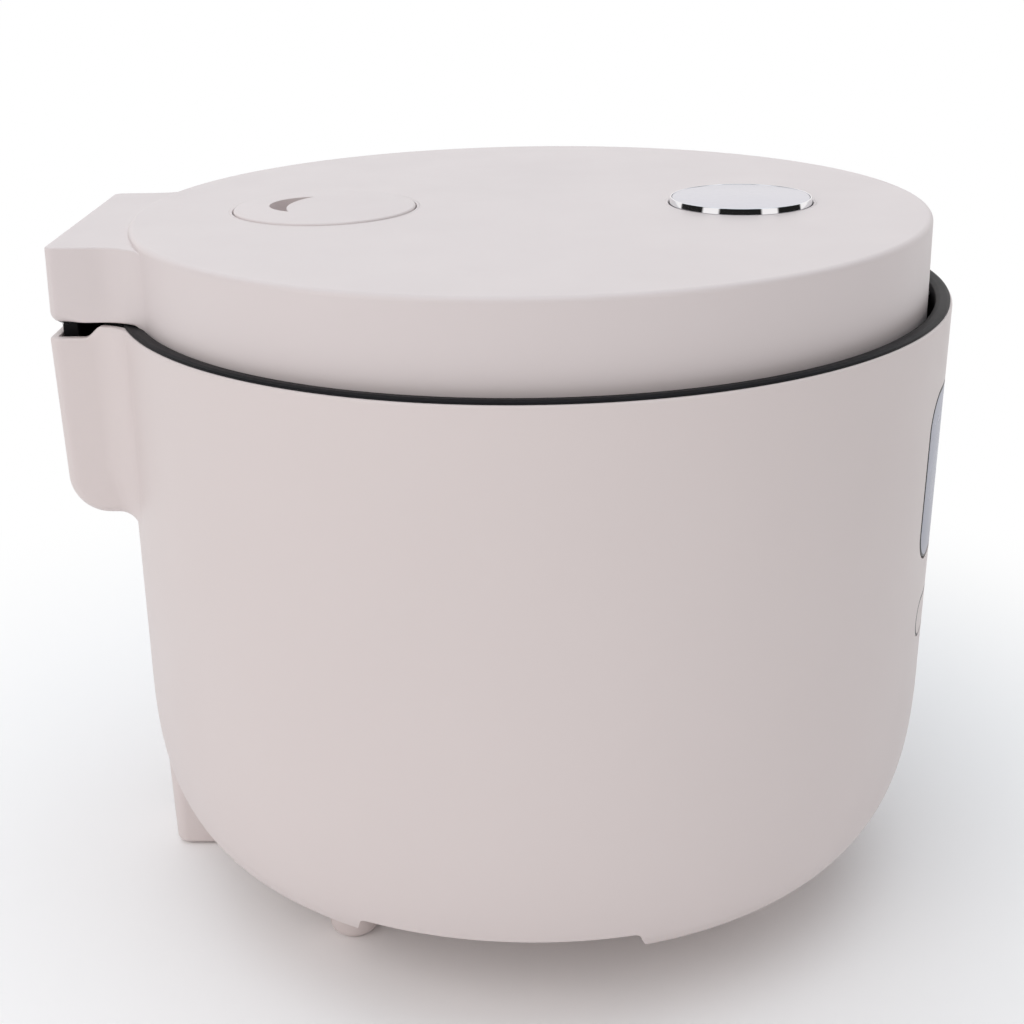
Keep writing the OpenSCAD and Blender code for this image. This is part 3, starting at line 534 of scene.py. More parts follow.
# Rows of points from the inner bottom edge, up the inside, over the top edge and down the outside.
def shellRows(theta):
    top = topEdge(theta)
    edge, wall = shell["edge"], shell["wall"]
    out, inward = outlineAt(bodyField, theta, top - edge)
    outsideRows, insideRows = [], []
    r, z = cornerProfile(0, shell["footR"], 34)
    for ri, zi in zip(r[::-1], z[::-1]):
        outsideRows.append(levelRow(ri, zi, theta))
    for zi in shell["wallRows"]:
        outsideRows.append(levelRow(wallRadius(zi), zi, theta))
    low = math.radians(shell["fanLow"])
    high = np.arctan2(out[:, 2] - shell["fanZ"], np.hypot(out[:, 0], out[:, 1]) - shell["fanR"])
    fan = lambda field, s: fanPoints(field, theta, low + (high - low) * s, shell["fanR"], shell["fanZ"])
    belowBox = 0.42   # share of the fan that meets the box's round underside, where rows stand closer
    shares = np.concatenate([np.linspace(0, belowBox, 40, endpoint=False), np.linspace(belowBox, 1, 26)])
    for s in shares[:-1]:
        outsideRows.append(fan(bodyField, s))
    for a in np.radians(np.linspace(0, 90, 6)):
        row = out + inward * (edge * (1 - math.cos(a)))
        row[:, 2] = top - edge + edge * math.sin(a)
        outsideRows.append(row)
    for d, drop in ((wall - 0.3, 0), (wall, 0.3), (wall, 8)):
        row = out + inward * d
        row[:, 2] = top - drop
        insideRows.append(row)
    for s in np.linspace(0.93, 0, 14):
        insideRows.append(fan(lambda q: bodyField(q) + wall, s))
    r, z = cornerProfile(wall, shell["footR"], 12)
    for ri, zi in zip(r, z):
        insideRows.append(levelRow(ri, zi, theta))
    return np.array(outsideRows + insideRows)


theta = rearAngles()
rows = shellRows(theta)
bodyShell = makePiece("bodyShell", rows.reshape(-1, 3), [gridFaces(len(rows), len(theta), closeRows=True)],
                      fromBody, "creamPlastic", "body", ["outer_shell"])
# rows run up the outside, so the faces already point outwards
print("body shell", len(bodyShell.data.polygons))


# Prisms drawn as (y, z) and lengthened along x, in the body frame.
def alongX(p):
    return fromBody(np.stack([p[..., 2], p[..., 0], p[..., 1]], -1))


def panelOutline(grow, steps=12):
    c = controls
    across = c["panelHalf"] + grow
    return boxOutline((-across, c["panelLow"] - grow), (across, c["panelHigh"] + grow), c["panelR"] + grow, steps)


def keyOutline(grow, steps=14):
    l, h = controls["keyL"] / 2 + grow, controls["keyH"] / 2 + grow
    hair = 0.001   # keeps a little of the straight ends, so that no two corners meet
    return boxOutline((-l, -h), (l, h), h - hair, steps)


# Prisms drawn as (across, up) from a key's centre and lengthened along the key's own direction.
def alongKey(side):
    a = side * math.radians(controls["keyAngle"])

    def place(p):
        d, t, z = p[..., 2], p[..., 0], p[..., 1] + controls["keyZ"]
        x, y = d * math.cos(a) - t * math.sin(a), d * math.sin(a) + t * math.cos(a)
        return fromBody(np.stack([x, y, z], -1))
    return place


cutAway(bodyShell, prism("panelCut", [panelOutline(controls["gap"])], 80, 140, alongX))
for side in (-1, 1):
    cutAway(bodyShell, prism("keyCut", [keyOutline(controls["keyGap"])], 100, 135, alongKey(side)))
inlet = {"half": 15, "low": 63, "high": 85, "r": 2}
inletOutline = boxOutline((-inlet["half"], inlet["low"]), (inlet["half"], inlet["high"]), inlet["r"])
cutAway(bodyShell, prism("inletCut", [inletOutline], -140, -100, alongX))


# Prisms drawn as (x, z) and lengthened along y, in the body frame.
def alongY(p):
    return fromBody(np.stack([p[..., 0], p[..., 2], p[..., 1]], -1))


recess = {"low": (-51, 33), "high": (-47, 28), "z": (14.3, 32.7), "r": 2}   # wide below, narrower above
(a, b), (c, d), (low, high) = recess["low"], recess["high"], recess["z"]
recessOutline = rounded([(a, low), (b, low), (d, high), (c, high)], [0, 0, recess["r"], recess["r"]])
for low, high in ((-130, -60), (60, 130)):
    cutAway(bodyShell, prism("recessCut", [recessOutline], low, high, alongY))
print("shell openings cut", len(bodyShell.data.polygons))


lid = {
    "top": 23.3, "r": 114.1, "flare": 0.1, "low": -5.0, "round": 1.6, "wall": 2.2,
    "boxTop": 21.25, "boxReach": 131.2, "rearLean": 0.6, "boxHalf": 41.5, "boxLow": 0.5, "boxCorner": 2.5,
    "blend": 10.0, "boxEdge": 0.5, "lowEdge": 0.6, "rearLowEdge": 2.9, "stepX": (-107.6, -97.6),
    "fanR": 85.0, "fanZ": 5.0, "ventX": -59.6, "ventR": 26.3, "wellR": 25.0, "wellLow": 7.0,
    "buttonX": 61.0, "buttonR": 20.6, "gap": 0.3, "shelf": 11.2,
    "leanHigh": 22.0, "collar": 1.3, "topRows": (0, 20, 40, 60, 80, 92), "boxRear": (121, 128),
    "fanTop": (54, 35, 29.5), "boxRise": 28.4, "edgeFan": (0.9, -1.1), "insideTop": 56.0,
    "edgeSteps": (*np.linspace(34.2, 30, 13), 29.75, 29.6), "sideZ": 14.0, "insideLow": 4.5,
}


# Plan field of the drum, which flares a little going down.
def drumField(x, y, z):
    return np.hypot(x, y) - (lid["r"] + lid["flare"] * (lid["top"] - z) / (lid["top"] - lid["low"]))


# Plan field of the drum and the hinge box with its concave sides.
def lidPlan(x, y, z):
    reach = lid["boxReach"] - lid["rearLean"] * z / lid["leanHigh"]
    box = boxPlan(x, y, reach, lid["boxHalf"], lid["boxCorner"])
    inset = 0.02   # keeps this outline a hair inside the drum's own, so the top's step stays clean
    return roundUnion(drumField(x, y, z) + inset, box, lid["blend"])


# Round lid whose top edge has a radius, over a box whose flat top lies a step lower.
def lidField(p):
    x, y, z = p[..., 0], p[..., 1], p[..., 2]
    disc = roundMeet(drumField(x, y, z), z - lid["top"], lid["round"])
    return np.minimum(disc, roundMeet(lidPlan(x, y, z), z - lid["boxTop"], lid["boxEdge"]))


# Height of the lid's lower edge: high over the hinge, then down in an S to the drum's edge.
def lidLowEdge(theta):
    z = np.full_like(theta, 0.0)
    for _ in range(4):
        p = outlineAt(lidField, theta, z)[0]
        z = lid["boxLow"] + (lid["low"] - lid["boxLow"]) * smooth(p[..., 0], *lid["stepX"])
    return z


# Rise from the fan's ring to height z at the outline's points.
def fanRise(outline, z):
    return np.arctan2(z - lid["fanZ"], np.hypot(outline[:, 0], outline[:, 1]) - lid["fanR"])


# Rows from the top's centre outwards, over the edge, down the wall, round the lower edge and back inside.
def lidRows(theta):
    wall = lid["wall"]
    rows = [levelRow(r, lid["top"], theta) for r in lid["topRows"]]

    def fan(phi, inset=0.0):
        rows.append(fanPoints(lambda q: lidField(q) + inset, theta, phi, lid["fanR"], lid["fanZ"]))

    def between(first, last, count):
        for s in np.linspace(0, 1, count)[1:-1]:
            fan(first + (last - first) * s)

    side = outlineAt(lidField, theta, np.full_like(theta, lid["sideZ"]))[0]
    edgePhi = np.minimum(fanRise(side, lid["boxTop"]), math.radians(lid["boxRise"]))
    far, near, last = lid["fanTop"]
    for a in (*np.linspace(far, near, 5), *lid["edgeSteps"], last):
        fan(np.full_like(theta, math.radians(a)))
    above, below = (math.radians(a) for a in lid["edgeFan"])
    between(math.radians(last), edgePhi + above, 8)
    for a in np.linspace(above, below, 14):
        fan(edgePhi + a)
    low = lidLowEdge(theta)
    roughSide = outlineAt(lidField, theta, low + 1)[0]
    atRear = smooth(-roughSide[:, 0], *lid["boxRear"])
    edge = lid["lowEdge"] + (lid["rearLowEdge"] - lid["lowEdge"]) * atRear
    out, inward = outlineAt(lidField, theta, low + edge)
    between(edgePhi + below, fanRise(out, out[:, 2]), 13)
    for a in np.radians(np.linspace(0, 90, 7)):
        row = out + inward * (edge * (1 - math.cos(a)))[:, None]
        row[:, 2] = low + edge - edge * math.sin(a)
        rows.append(row)
    thick = np.maximum(wall, edge + 0.3)
    for rise in (0.0, 3.0):
        row = out + inward * thick[:, None]
        row[:, 2] = low + rise
        rows.append(row)
    lowPhi = fanRise(out, low + lid["insideLow"])
    for s in np.linspace(0, 1, 12):
        fan(lowPhi + (math.radians(lid["insideTop"]) - lowPhi) * s, wall)
    for r in (60, 30, 0):
        rows.append(levelRow(r, lid["top"] - wall, theta))
    return np.array(rows)


rows = lidRows(theta)
lidCover = makePiece("lidCover", rows.reshape(-1, 3), [gridFaces(len(rows), len(theta))],
                     fromLid, "lidPlastic", "lid", ["lid_cover"])
cleanMesh(lidCover)
ventAt, buttonAt = (lid["ventX"], 0), (lid["buttonX"], 0)
for name, r, at in (("ventCut", lid["ventR"], ventAt), ("buttonCut", lid["buttonR"], buttonAt)):
    cutAway(lidCover, prism(name, [circleOutline(r + lid["collar"], at, 128)], 15, 40, fromLid))
print("lid cover", len(lidCover.data.polygons))


# Outline of a well round a lid part of radius r: a flush collar, a rounded lip, the inner wall, a floor with a
# hole, and the outside.
def wellProfile(r, floorZ, hole, wall=1.5, lip=0.35, ledge=None):
    outer, inner, top = r + lid["collar"], r + lid["gap"], lid["top"]
    points = [(outer, top), (inner, top)]
    radii = [0, lip]
    if ledge:
        points += [(inner, ledge[1]), (ledge[0], ledge[1])]
        radii += [0.2, 0.3]
    wallR = ledge[0] if ledge else inner
    points += [(wallR, floorZ), (hole, floorZ), (hole, floorZ - wall), (wallR + wall, floorZ - wall),
               (wallR + wall, top - lid["wall"]), (outer, top - lid["wall"])]
    radii += [0.6, 0.2, 0.2, 0.8, 0.2, 0]
    return rounded(points, radii, 5)


ventWell = wellProfile(lid["ventR"], lid["wellLow"], 7.2, ledge=(lid["wellR"], lid["top"] - 2.0))
buttonWell = wellProfile(lid["buttonR"], lid["shelf"], 4.6)
for name, profile, at in (("ventWell", ventWell, ventAt), ("buttonWell", buttonWell, buttonAt)):
    turnedPiece(name, profile, 128, fromLid, "lidPlastic", "lid", ["lid_cover"], at)

# vent cap: a thin disc with a cup below; the slot is one circle less another
cap = {"top": 23.8, "disc": 2.2, "edge": 0.7, "cupR": 23.6, "cupLow": 10.0, "inner": 3.4, "wall": 1.6,
       "floor": 1.4, "slot": ((-4.3, 3.4, 12.2), (11.6, 0.4, 22.6)), "holes": 6, "holeAt": 16.0, "holeR": 1.6}
top, innerZ, discZ = cap["top"], cap["top"] - cap["inner"], cap["top"] - cap["disc"]
cupIn, floorZ = cap["cupR"] - cap["wall"], cap["cupLow"] + cap["floor"]
capProfile = rounded([(0, top), (0, innerZ), (cupIn, innerZ), (cupIn, floorZ), (0, floorZ), (0, cap["cupLow"]),
                      (cap["cupR"], cap["cupLow"]), (cap["cupR"], discZ), (lid["ventR"], discZ),
                      (lid["ventR"], top)],
                     [0, 0, 0.4, 0.4, 0, 0, 0.8, 0.2, 0.3, cap["edge"]], 6)
ventCap = turnedPiece("ventCap", capProfile, 144, fromLid, "lidPlastic", "vent_cap",
                      ["vent_cap"], ventAt)


# Crescent: the first circle's edge outside the second, closed by the second's edge inside the first.
def slotOutline(centre, n=40):
    (ax, ay, ar), (bx, by, br) = cap["slot"]
    d = math.hypot(bx - ax, by - ay)
    to = math.atan2(by - ay, bx - ax)
    a = math.acos((ar * ar + d * d - br * br) / (2 * ar * d))
    b = math.acos((br * br + d * d - ar * ar) / (2 * br * d))
    outer = to + np.linspace(a, 2 * math.pi - a, n)
    inner = to + math.pi + np.linspace(b, -b, n)[1:-1]
    first = np.column_stack([ax + ar * np.cos(outer), ay + ar * np.sin(outer)])
    second = np.column_stack([bx + br * np.cos(inner), by + br * np.sin(inner)])
    return np.vstack([first, second]) + centre


# Small round holes, count of them, on a circle round the vent cap's middle.
def holeRing(count, away, r, n):
    turns = np.arange(count) * 2 * math.pi / count
    return [circleOutline(r, (lid["ventX"] + away * math.cos(a), away * math.sin(a)), n) for a in turns]


cutAway(ventCap, prism("slotCut", [slotOutline(ventAt)], innerZ - 1, 40, fromLid))
cutAway(ventCap, prism("holesCut", holeRing(cap["holes"], cap["holeAt"], cap["holeR"], 24), cap["cupLow"] - 2,
                       cap["cupLow"] + 2.5, fromLid))

# button: plated ring with a skirt, and a film-faced plate set into it
button = {"top": 24.95, "topR": 20.3, "edge": 0.2, "plateR": 19.9, "skirt": 15.0, "skirtIn": 19.1, "thick": 2.0,
          "seat": 0.9, "seatR": 20.0}
top, under, seat = button["top"], button["top"] - button["thick"], button["top"] - button["seat"]
buttonProfile = rounded([(0, seat), (0, under), (button["skirtIn"], under), (button["skirtIn"], button["skirt"]),
                         (lid["buttonR"], button["skirt"]), (lid["buttonR"], lid["top"]), (button["topR"], top),
                         (button["seatR"], top), (button["seatR"], seat)],
                        [0, 0, 0.4, 0.2, 0.3, 0.3, button["edge"], 0.15, 0.1], 8)
turnedPiece("buttonRing", buttonProfile, 160, fromLid, "chromeTrim", "lid_button", ["lid_button"],
            buttonAt)
faceR, faceLow, faceTop = button["plateR"], seat + 0.05, top - 0.05
plateProfile = rounded([(0, faceLow), (faceR, faceLow), (faceR, faceTop), (0, faceTop)], [0, 0.1, 0.3, 0], 6)
turnedPiece("buttonFace", plateProfile, 128, fromLid, "buttonFilm", "lid_button", ["button_plate"],
            buttonAt)


rim = {"outer": 119.4, "skirt": 117.2, "inner": 115.3, "floor": -10.0, "seat": -13.5, "seatIn": 100.5,
       "beadHalf": 51.5, "beadLow": 0.2, "crown": ((118.4, 0.55), (116.6, 0.45)), "thick": 2.0,
       "ledgeR": 105, "ledgeBack": 107.5}
skirt, outer, inner, seatIn, back = (rim[key] for key in ("skirt", "outer", "inner", "seatIn", "ledgeBack"))
floorZ, seatZ, under, seatUnder = (rim[key] - t for t in (0, rim["thick"]) for key in ("floor", "seat"))
ringProfile = rounded([(skirt, under), (skirt, shell["top"]), (outer, shell["top"]), (outer, rim["beadLow"]),
                       *rim["crown"], (inner, 0.0), (inner, floorZ), (rim["ledgeR"], floorZ),
                       (rim["ledgeR"], seatZ), (seatIn, seatZ), (seatIn, seatUnder), (back, seatUnder),
                       (back, under)],
                      [0.2, 0.1, 0.15, 0.35, 0.4, 0.5, 0.5, 0.6, 0.4, 0.6, 0.5, 0.5, 0.4, 0.4], 5)
rimRing = turnedPiece("rimRing", ringProfile, 288, fromRim, "ringPlastic", "body", ["top_frame"])
behind = boxOutline((-140, -rim["beadHalf"]), (-100, rim["beadHalf"]), 0)
cutAway(rimRing, prism("beadCut", [behind], rim["beadLow"], 5, fromRim))


# A bar of the top frame: one outline between two heights or, lying, from side to side; its edges are softened.
def barPiece(name, outline, low, high, lying=False, bevel=0.35, sharp=math.radians(35)):
    turnTo = (lambda p: np.stack([p[..., 0], p[..., 2], p[..., 1]], -1)) if lying else (lambda p: p)
    outline = np.asarray(outline, float)
    n = len(outline)
    points = turnTo(np.vstack([np.column_stack([outline, np.full(n, h)]) for h in (low, high)]))
    ring = np.arange(n)
    nxt = (ring + 1) % n
    faces = [np.stack([ring, nxt, nxt + n, ring + n], -1), ring[::-1][None, :], (ring + n)[None, :]]
    piece = makePiece(name, points, faces, fromRim, "blackPlastic", "body", ["top_frame"])
    cleanMesh(piece)
    soft = piece.modifiers.new("edges", "BEVEL")
    soft.width = bevel * mm
    soft.segments = 2
    soft.limit_method = "ANGLE"
    soft.angle_limit = sharp
    piece.data.shade_smooth()
    piece.data.set_sharp_from_angle(angle=sharp)


hinge = {"reach": 129.0, "z": 0.2, "knuckle": 3.2, "span": (26.2, 36.0), "tray": -10.0, "back": 130.1,
         "half": 38.7, "front": -112, "thick": 2.0, "lip": 1.2, "lipTop": -4.6}
half, back, tray, lipTop = hinge["half"], hinge["back"], hinge["tray"], hinge["lipTop"]
barPiece("hingeTray", boxOutline((-back, -half), (hinge["front"], half), 1.5), tray - hinge["thick"], tray)
lipFront, lipLow = hinge["lip"] - back, tray - 1.5
barPiece("hingeTrayEdge", [(-back, lipLow), (lipFront, lipLow), (lipFront, lipTop), (-back, lipTop)],
         -half, half, lying=True)
k = hinge["knuckle"]
arch = [(-hinge["reach"] + k * math.cos(a), hinge["z"] + k * math.sin(a)) for a in np.linspace(0, math.pi, 24)]
arch += [(-back, hinge["z"] - 1), (-back, tray - 1), (-hinge["reach"] + k, tray - 1)]
for side, name in ((-1, "knuckleRight"), (1, "knuckleLeft")):
    a, b = sorted((side * hinge["span"][0], side * hinge["span"][1]))
    barPiece(name, arch, a, b, lying=True)
print("rim and hinge")


# The outline with points added along its long edges.
def dense(outline, step=1.5):
    points = []
    for a, b in zip(outline, np.roll(outline, -1, axis=0)):
        count = max(1, int(np.hypot(*(b - a)) / step))
        points.append(a + (b - a) * np.linspace(0, 1, count, endpoint=False)[:, None])
    return np.vstack(points)


# A curved slab flush with the wall: points run from a centre line out to the outline, s = 0 to 1, and lie
# on the wall's radius, less the edge's arc near the border; the back is the same, thick deeper.
def wallSkin(name, outlineOf, midHalf, midZ, place, body, material, replaces, edge=0.5, thick=1.2):
    outline = dense(outlineOf(-controls["border"]))
    n = len(outline)
    centre = np.column_stack([np.clip(outline[:, 0], -midHalf, midHalf), np.full(n, midZ)])
    reach = np.abs(outline - centre).max(axis=1).max()
    depths = np.concatenate([np.linspace(0, 1, 7) ** 2 * edge, [edge * 2.5]])
    shares = np.concatenate([1 - depths / reach, np.linspace(0.82, 0, 9)])
    drops = np.concatenate([edge - np.sqrt(np.maximum(edge ** 2 - (edge - depths[:7]) ** 2, 0)), np.zeros(10)])
    back = [(s, thick) for s in (0.0, 0.5, 0.98, 1.0)]
    lift = 0 if midZ else controls["keyZ"]   # the keys' outlines are drawn from their own middle
    rows = []
    for s, drop in [*back, *zip(shares, drops)]:
        q = centre + (outline - centre) * s
        rows.append(np.column_stack([q, np.sqrt((wallRadius(q[:, 1] + lift) - drop) ** 2 - q[:, 0] ** 2)]))
    rows = np.array(rows)
    faces = [gridFaces(len(rows), n)]
    cleanMesh(makePiece(name, rows.reshape(-1, 3), faces, place, material, body, replaces))


c = controls
wallSkin("displayPanel", panelOutline, c["panelHalf"] - panelUp, panelMid, alongX, "body", "displayGloss",
         ["display_panel"], edge=0.45)
# each key gets its own cream material with painted shade round its face
for side, name, node in ((-1, "startKey", "start_key"), (1, "cancelKey", "cancel_key")):
    finish[name] = keyGapShadePlastic(name + "Plastic", side)
    wallSkin(name, keyOutline, (c["keyL"] - c["keyH"]) / 2, 0.0, alongKey(side), node, name,
             [node], edge=0.3, thick=2.5)
print("panel and keys")


leg = {"x": (-118.0, -98.0), "half": 14.0, "r": 5.0, "low": 0.5, "top": 58.0, "lean": 1.5, "edge": 2.0}


# Upright bar leaned to the rear at the top, its back in line with the wall.
def legPlace(p):
    q = np.array(p, float)
    q[..., 0] -= (q[..., 2] - 30) * math.tan(math.radians(leg["lean"]))
    return fromBody(q)


# The leg's outline at height z, drawn in by inset.
def legRow(inset, z):
    (back, front), half = leg["x"], leg["half"] - inset
    ring = boxOutline((back + inset, -half), (front - inset, half), leg["r"] - inset, 8)
    return np.column_stack([ring, np.full(len(ring), z)])


legRows = []
for a in np.linspace(0, math.pi / 2, 7):
    inset = leg["edge"] * (1 - math.sin(a))
    legRows.append(legRow(inset, leg["low"] + leg["edge"] * (1 - math.cos(a))))
for z in (10, 20, 30, 40, 50, leg["top"]):
    legRows.append(legRow(0, z))
n = len(legRows[0])
ends = [np.tile([sum(leg["x"]) / 2, 0, z], (n, 1)) for z in (leg["low"], leg["top"])]
legRows = np.array([ends[0], *legRows, ends[1]])
rearLeg = makePiece("rearLeg", legRows.reshape(-1, 3), [gridFaces(len(legRows), n)], legPlace, "creamPlastic",
                    "body", ["rear_leg"])
cleanMesh(rearLeg)
# the body's own form, a little smaller, is taken out of the leg, so the leg ends inside the wall
sunk, coreTop = 0.3, 90
r, z = cornerProfile(sunk, shell["footR"], 40)
topDisc = [(0, coreTop), (wallRadius(coreTop) - sunk, coreTop)]
bodyCore = np.vstack([topDisc, np.column_stack([r, z]), [(0, z[-1])]])
corePoints = fromBody(turned(bodyCore, 240).reshape(-1, 3)) * mm
coreMesh = bpy.data.meshes.new("core")
coreMesh.from_pydata(corePoints.tolist(), [], gridFaces(len(bodyCore), 240, closeRows=True).tolist())
coreObject = addObject("core", coreMesh)
cleanMesh(coreObject)
cutAway(rearLeg, coreObject)

foot = {"r": 7.3, "edge": 5.0, "top": 18.5, "spots": ((62, 42), (62, -42), (-54, 59), (-54, -59))}
footNodes = ("foot_front_left", "foot_front_right", "foot_rear_left", "foot_rear_right")
footProfile = rounded([(0, 0), (foot["r"], 0), (foot["r"], foot["top"]), (0, foot["top"])],
                      [0, foot["edge"], 0.2, 0], 10)
for spot, node in zip(foot["spots"], footNodes):
    name = "foot" + "".join(w.capitalize() for w in node.split("_")[1:])
    turnedPiece(name, footProfile, 64, fromBody, "creamPlastic", "body", [node], spot)
print("leg and feet")


pot = {"r": 96.0, "wall": 1.5, "top": -12.3, "low": -137.0, "corner": 28.0, "flange": 104.3}
r, low, top, flange = pot["r"], pot["low"], pot["top"], pot["flange"]
inR, inLow = r - pot["wall"], low + pot["wall"]
potProfile = rounded([(0, low), (r, low), (r, seatZ), (flange, seatZ), (flange, top), (inR, top), (inR, inLow),
                      (0, inLow)],
                     [0, pot["corner"], 0.3, 0.5, 0.55, 1.2, pot["corner"] - pot["wall"], 0], 14)
turnedPiece("innerPot", potProfile, 256, fromRim, "potCoat", "body", ["inner_pot"])

plate = {"r": 97.0, "low": -11.4, "thick": 1.0, "rimTop": -7.5, "rimWall": 0.8, "raised": (22, 23, 84, 86),
         "rise": 0.4, "centreHole": 6.6, "sensorHole": (3.2, (30, 30)), "steamHoles": (6, 3.6, 1.2)}
lowZ, topZ = plate["low"], plate["low"] + plate["thick"]
highLow, highTop, rimIn = lowZ + plate["rise"], topZ + plate["rise"], plate["r"] - plate["rimWall"]
a, b, c, d = plate["raised"]
plateOutline = rounded([(0, lowZ), (a, lowZ), (b, highLow), (c, highLow), (d, lowZ), (plate["r"], lowZ),
                        (plate["r"], plate["rimTop"]), (rimIn, plate["rimTop"]), (rimIn, topZ),
                        (d, topZ), (c, highTop), (b, highTop), (a, topZ), (0, topZ)],
                       [0, 0.8, 0.8, 1, 1, 1.2, 0.3, 0.3, 0.5, 1, 1, 0.8, 0.8, 0], 5)
innerPlate = turnedPiece("innerPlate", plateOutline, 224, fromLid, "satinAluminium", "lid",
                         ["inner_lid_plate"])
holes = [circleOutline(plate["centreHole"]), circleOutline(*plate["sensorHole"], 32),
         *holeRing(*plate["steamHoles"], 20)]
cutAway(innerPlate, prism("plateCut", holes, lowZ - 2, topZ + 2, fromLid))

sealProfile = rounded([(97.05, lowZ + 0.2), (97.05, -7.6), (98.6, -6.9), (99.6, -7.6), (100.0, -9.2),
                       (102.4, -10.6), (103.35, -11.6), (103.3, -11.9), (101.6, -11.9), (99.4, -11.5)],
                      [0.2, 0.3, 0.6, 0.6, 0.8, 0.8, 0.2, 0.2, 0.5, 0.5], 5)
turnedPiece("sealRing", sealProfile, 224, fromLid, "siliconeRubber", "lid", ["seal_ring"])
print("pot and seal")


solids = {
    "creamPlastic": ("base_plate",), "blackPlastic": ("power_inlet", "display_module", "key_switches"),
    "greyPlastic": ("lid_base", "latch_slider"), "satinAluminium": ("heating_plate", "liner"),
    "brightSteel": ("heater_terminals", "sensor_bracket", "sensor_spring", "hinge_pin", "hinge_spring",
                    "base_screws", "liner_screws", "lid_screws", "button_spring", "latch_spring", "inlet_pins",
                    "pot_sensor", "lid_sensor"),
    "siliconeRubber": ("vent_tube", "vent_cap_seal", "plate_grommet"),
    "boardGreen": ("control_board", "power_board"),
    "relayBlue": ("relay",), "sleeveBlue": ("capacitor",), "tapeYellow": ("transformer",),
    "ceramicWhite": ("thermal_fuse",), "leadRed": ("wiring_harness",),
}
for material, names in solids.items():
    for name in names:
        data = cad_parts[name].data
        data.materials.clear()
        data.materials.append(finish[material])
print("finishes set")

# springs: each is a copy of its solid's shape; listed are its solid, the bodies its two ends meet and, as a
# number, the axis it lies on
springs = {"buttonSpring": ("button_spring", "lid", "lid_button", 2),
           "latchSpring": ("latch_spring", "lid", "latch", 0),
           "sensorSpring": ("sensor_spring", "body", "pot_sensor", 2)}
endTurn = 0.6 * mm   # how far the start and end points lie in from each end of the spring
for name, (node, still, moved, axis) in springs.items():
    piece = addObject(name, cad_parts[node].data.copy())
    cleanMesh(piece)
    low, high = (np.array(corner, float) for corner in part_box(node))
    start, end = (low + high) / 2, (low + high) / 2
    start[axis], end[axis] = low[axis] + endTurn, high[axis] - endTurn
    tuple(start)
    tuple(end)
    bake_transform(piece)
    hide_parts(node)
print("springs")


stageSize = {"floor": 80.0, "shadowR": 0.14, "whiteR": 0.36}
floorMesh = bpy.data.meshes.new("floor")
half = stageSize["floor"] / 2
corners = [(-half, -half, 0), (half, -half, 0), (half, half, 0), (-half, half, 0)]
floorMesh.from_pydata(corners, [], [(0, 1, 2, 3)])
floor = addObject("floor", floorMesh)


# 1 for rays from the camera, off gloss or through glass.
def seenRay(tree):
    rays = addNode(tree, "LightPath", {}).outputs
    seen = calc(tree, "MAXIMUM", rays["Is Camera Ray"], rays["Is Glossy Ray"])
    return calc(tree, "MAXIMUM", seen, rays["Is Transmission Ray"])


# floor: diffuse near the object, where its shadow falls, and white light farther out
floorMaterial, tree, floorShader, coord = newMaterial("floorMaterial")
setInputs(tree, floorShader, {"Base Color": (0.98, 0.965, 0.96, 1), "Roughness": 0.8, "Specular IOR Level": 0.0})
away = addNode(tree, "VectorMath", {0: coord}, operation="LENGTH").outputs["Value"]
reach = {"Value": away, "From Min": stageSize["shadowR"], "From Max": stageSize["whiteR"]}
fade = addNode(tree, "MapRange", reach, interpolation_type="SMOOTHSTEP").outputs["Result"]
glow = addNode(tree, "Emission", {}).outputs["Emission"]
share = calc(tree, "MULTIPLY", fade, seenRay(tree))
blend = addNode(tree, "MixShader", {0: share, 1: floorShader.outputs["BSDF"], 2: glow})
setInputs(tree, tree.nodes["Material Output"], {"Surface": blend.outputs[0]})
floorMesh.materials.append(floorMaterial)

# world: white to the eye; as a light, less from the right than from the left and bluer from above; gloss sees
# dark gaps between soft panels, which stand on both sides of the camera, beyond them and behind
world = bpy.data.worlds.new("studio")
bpy.context.scene.world = world
world.use_nodes = True
tree = world.node_tree
apart = addNode(tree, "SeparateXYZ", {0: addNode(tree, "TexCoord", {}).outputs["Generated"]}).outputs
rays = addNode(tree, "LightPath", {}).outputs


def mixValue(share, a, b):
    return addNode(tree, "Mix", {"Factor": share, "A": a, "B": b}, data_type="FLOAT").outputs["Result"]


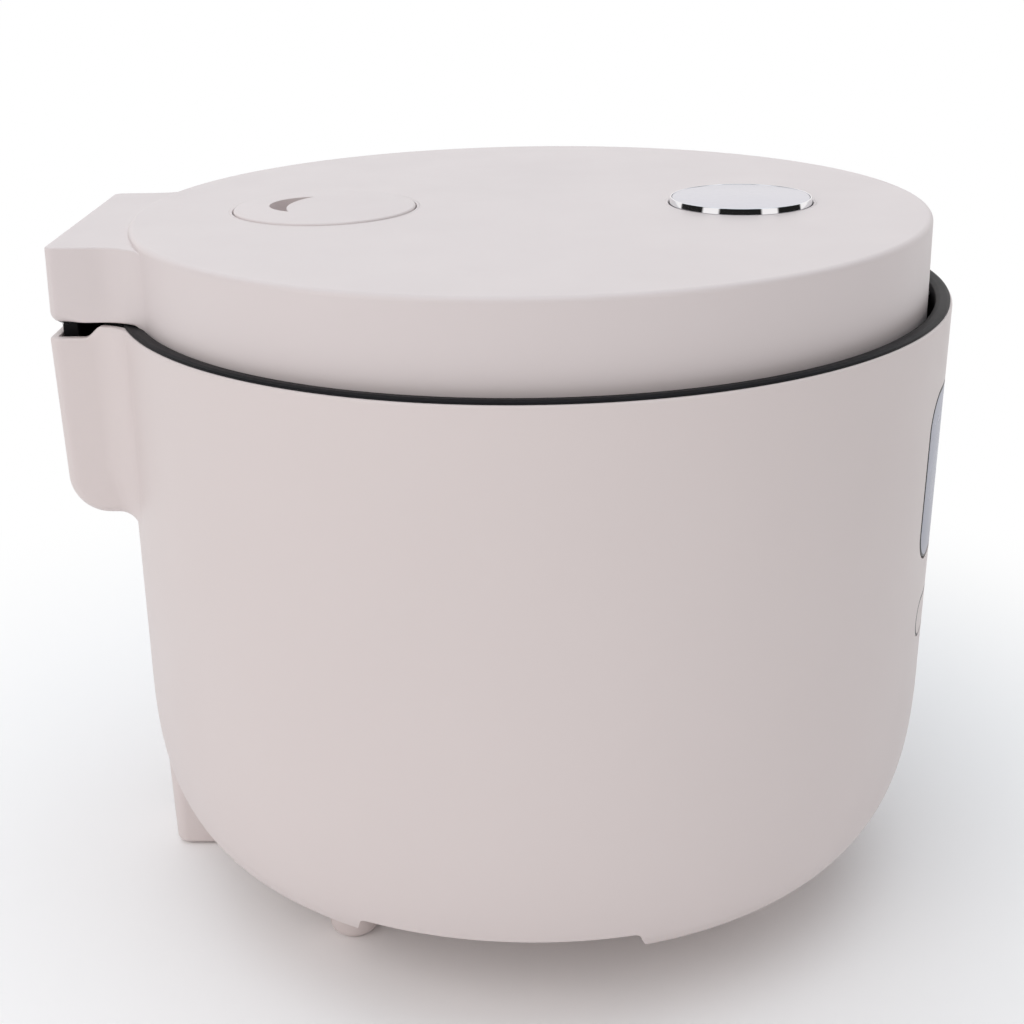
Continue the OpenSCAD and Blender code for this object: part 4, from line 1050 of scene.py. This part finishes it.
studio = {"left": 0.68, "right": 0.55, "gloss": 1.15, "gaps": ((-115, -71), (-40, 26), (57, 103)), "soft": 3,
          "dark": 0.015, "overhead": (0.75, 0.9), "cooler": (0.35, 0.95),
          "low": (1.0, 0.965, 0.95, 1), "high": (0.86, 0.94, 1.0, 1)}
fill = ramp(tree, apart["X"], -0.3, 1.0, studio["left"], studio["right"])
azimuth = calc(tree, "ARCTAN2", apart["X"], calc(tree, "MULTIPLY", apart["Y"], -1.0))
bands = addNode(tree, "ValToRGB", {"Fac": ramp(tree, azimuth, -math.pi, math.pi)})
stops = bands.color_ramp.elements
stops[0].color = stops[1].color = (1, 1, 1, 1)
for low, high in studio["gaps"]:
    dark, soft = studio["dark"], studio["soft"]
    for degrees, level in ((low - soft, 1), (low, dark), (high, dark), (high + soft, 1)):
        stops.new((degrees + 180) / 360).color = (level, level, level, 1)
overhead = ramp(tree, apart["Z"], *studio["overhead"])
panels = calc(tree, "MAXIMUM", bands.outputs["Color"], overhead)
gloss = calc(tree, "MULTIPLY", panels, studio["gloss"])
light = mixValue(rays["Is Glossy Ray"], fill, gloss)
sky = mixColour(tree, ramp(tree, apart["Z"], *studio["cooler"]), studio["low"], studio["high"])
setInputs(tree, tree.nodes["Background"], {"Strength": mixValue(rays["Is Camera Ray"], light, 1.0),
                                           "Color": mixColour(tree, rays["Is Camera Ray"], sky, (1, 1, 1, 1))})

lamps = {
    "keyLamp": {"at": (-0.9, -1.2, 1.1), "size": 1.4, "power": 9, "tone": (1.0, 0.965, 0.95)},
    "topLamp": {"at": (0.0, 0.2, 1.9), "size": 2.0, "power": 12, "tone": (0.86, 0.94, 1.0)},
}
for name, spec in lamps.items():
    lamp = bpy.data.lights.new(name, "AREA")
    lamp.shape = "SQUARE"
    lamp.size = spec["size"]
    lamp.energy = spec["power"]
    lamp.color = spec["tone"]
    holder = addObject(name, lamp)
    holder.location = spec["at"]
    holder.visible_glossy = False
    holder.rotation_euler = (Vector((0, 0, 0.1)) - Vector(spec["at"])).to_track_quat("-Z", "Y").to_euler()

shot = {"at": (0.0066, -0.4790, 0.2947), "pitch": 69.05, "lens": 58.0, "shift": -0.022, "sensor": 36.0}
cameraData = bpy.data.cameras.new("camera")
cameraData.sensor_width, cameraData.lens, cameraData.shift_x = shot["sensor"], shot["lens"], shot["shift"]
camera = addObject("camera", cameraData)
camera.location = shot["at"]
camera.rotation_euler = (math.radians(shot["pitch"]), 0, 0)
bpy.context.scene.camera = camera
bpy.context.scene.view_settings.view_transform = "Standard"
print("stage ready")
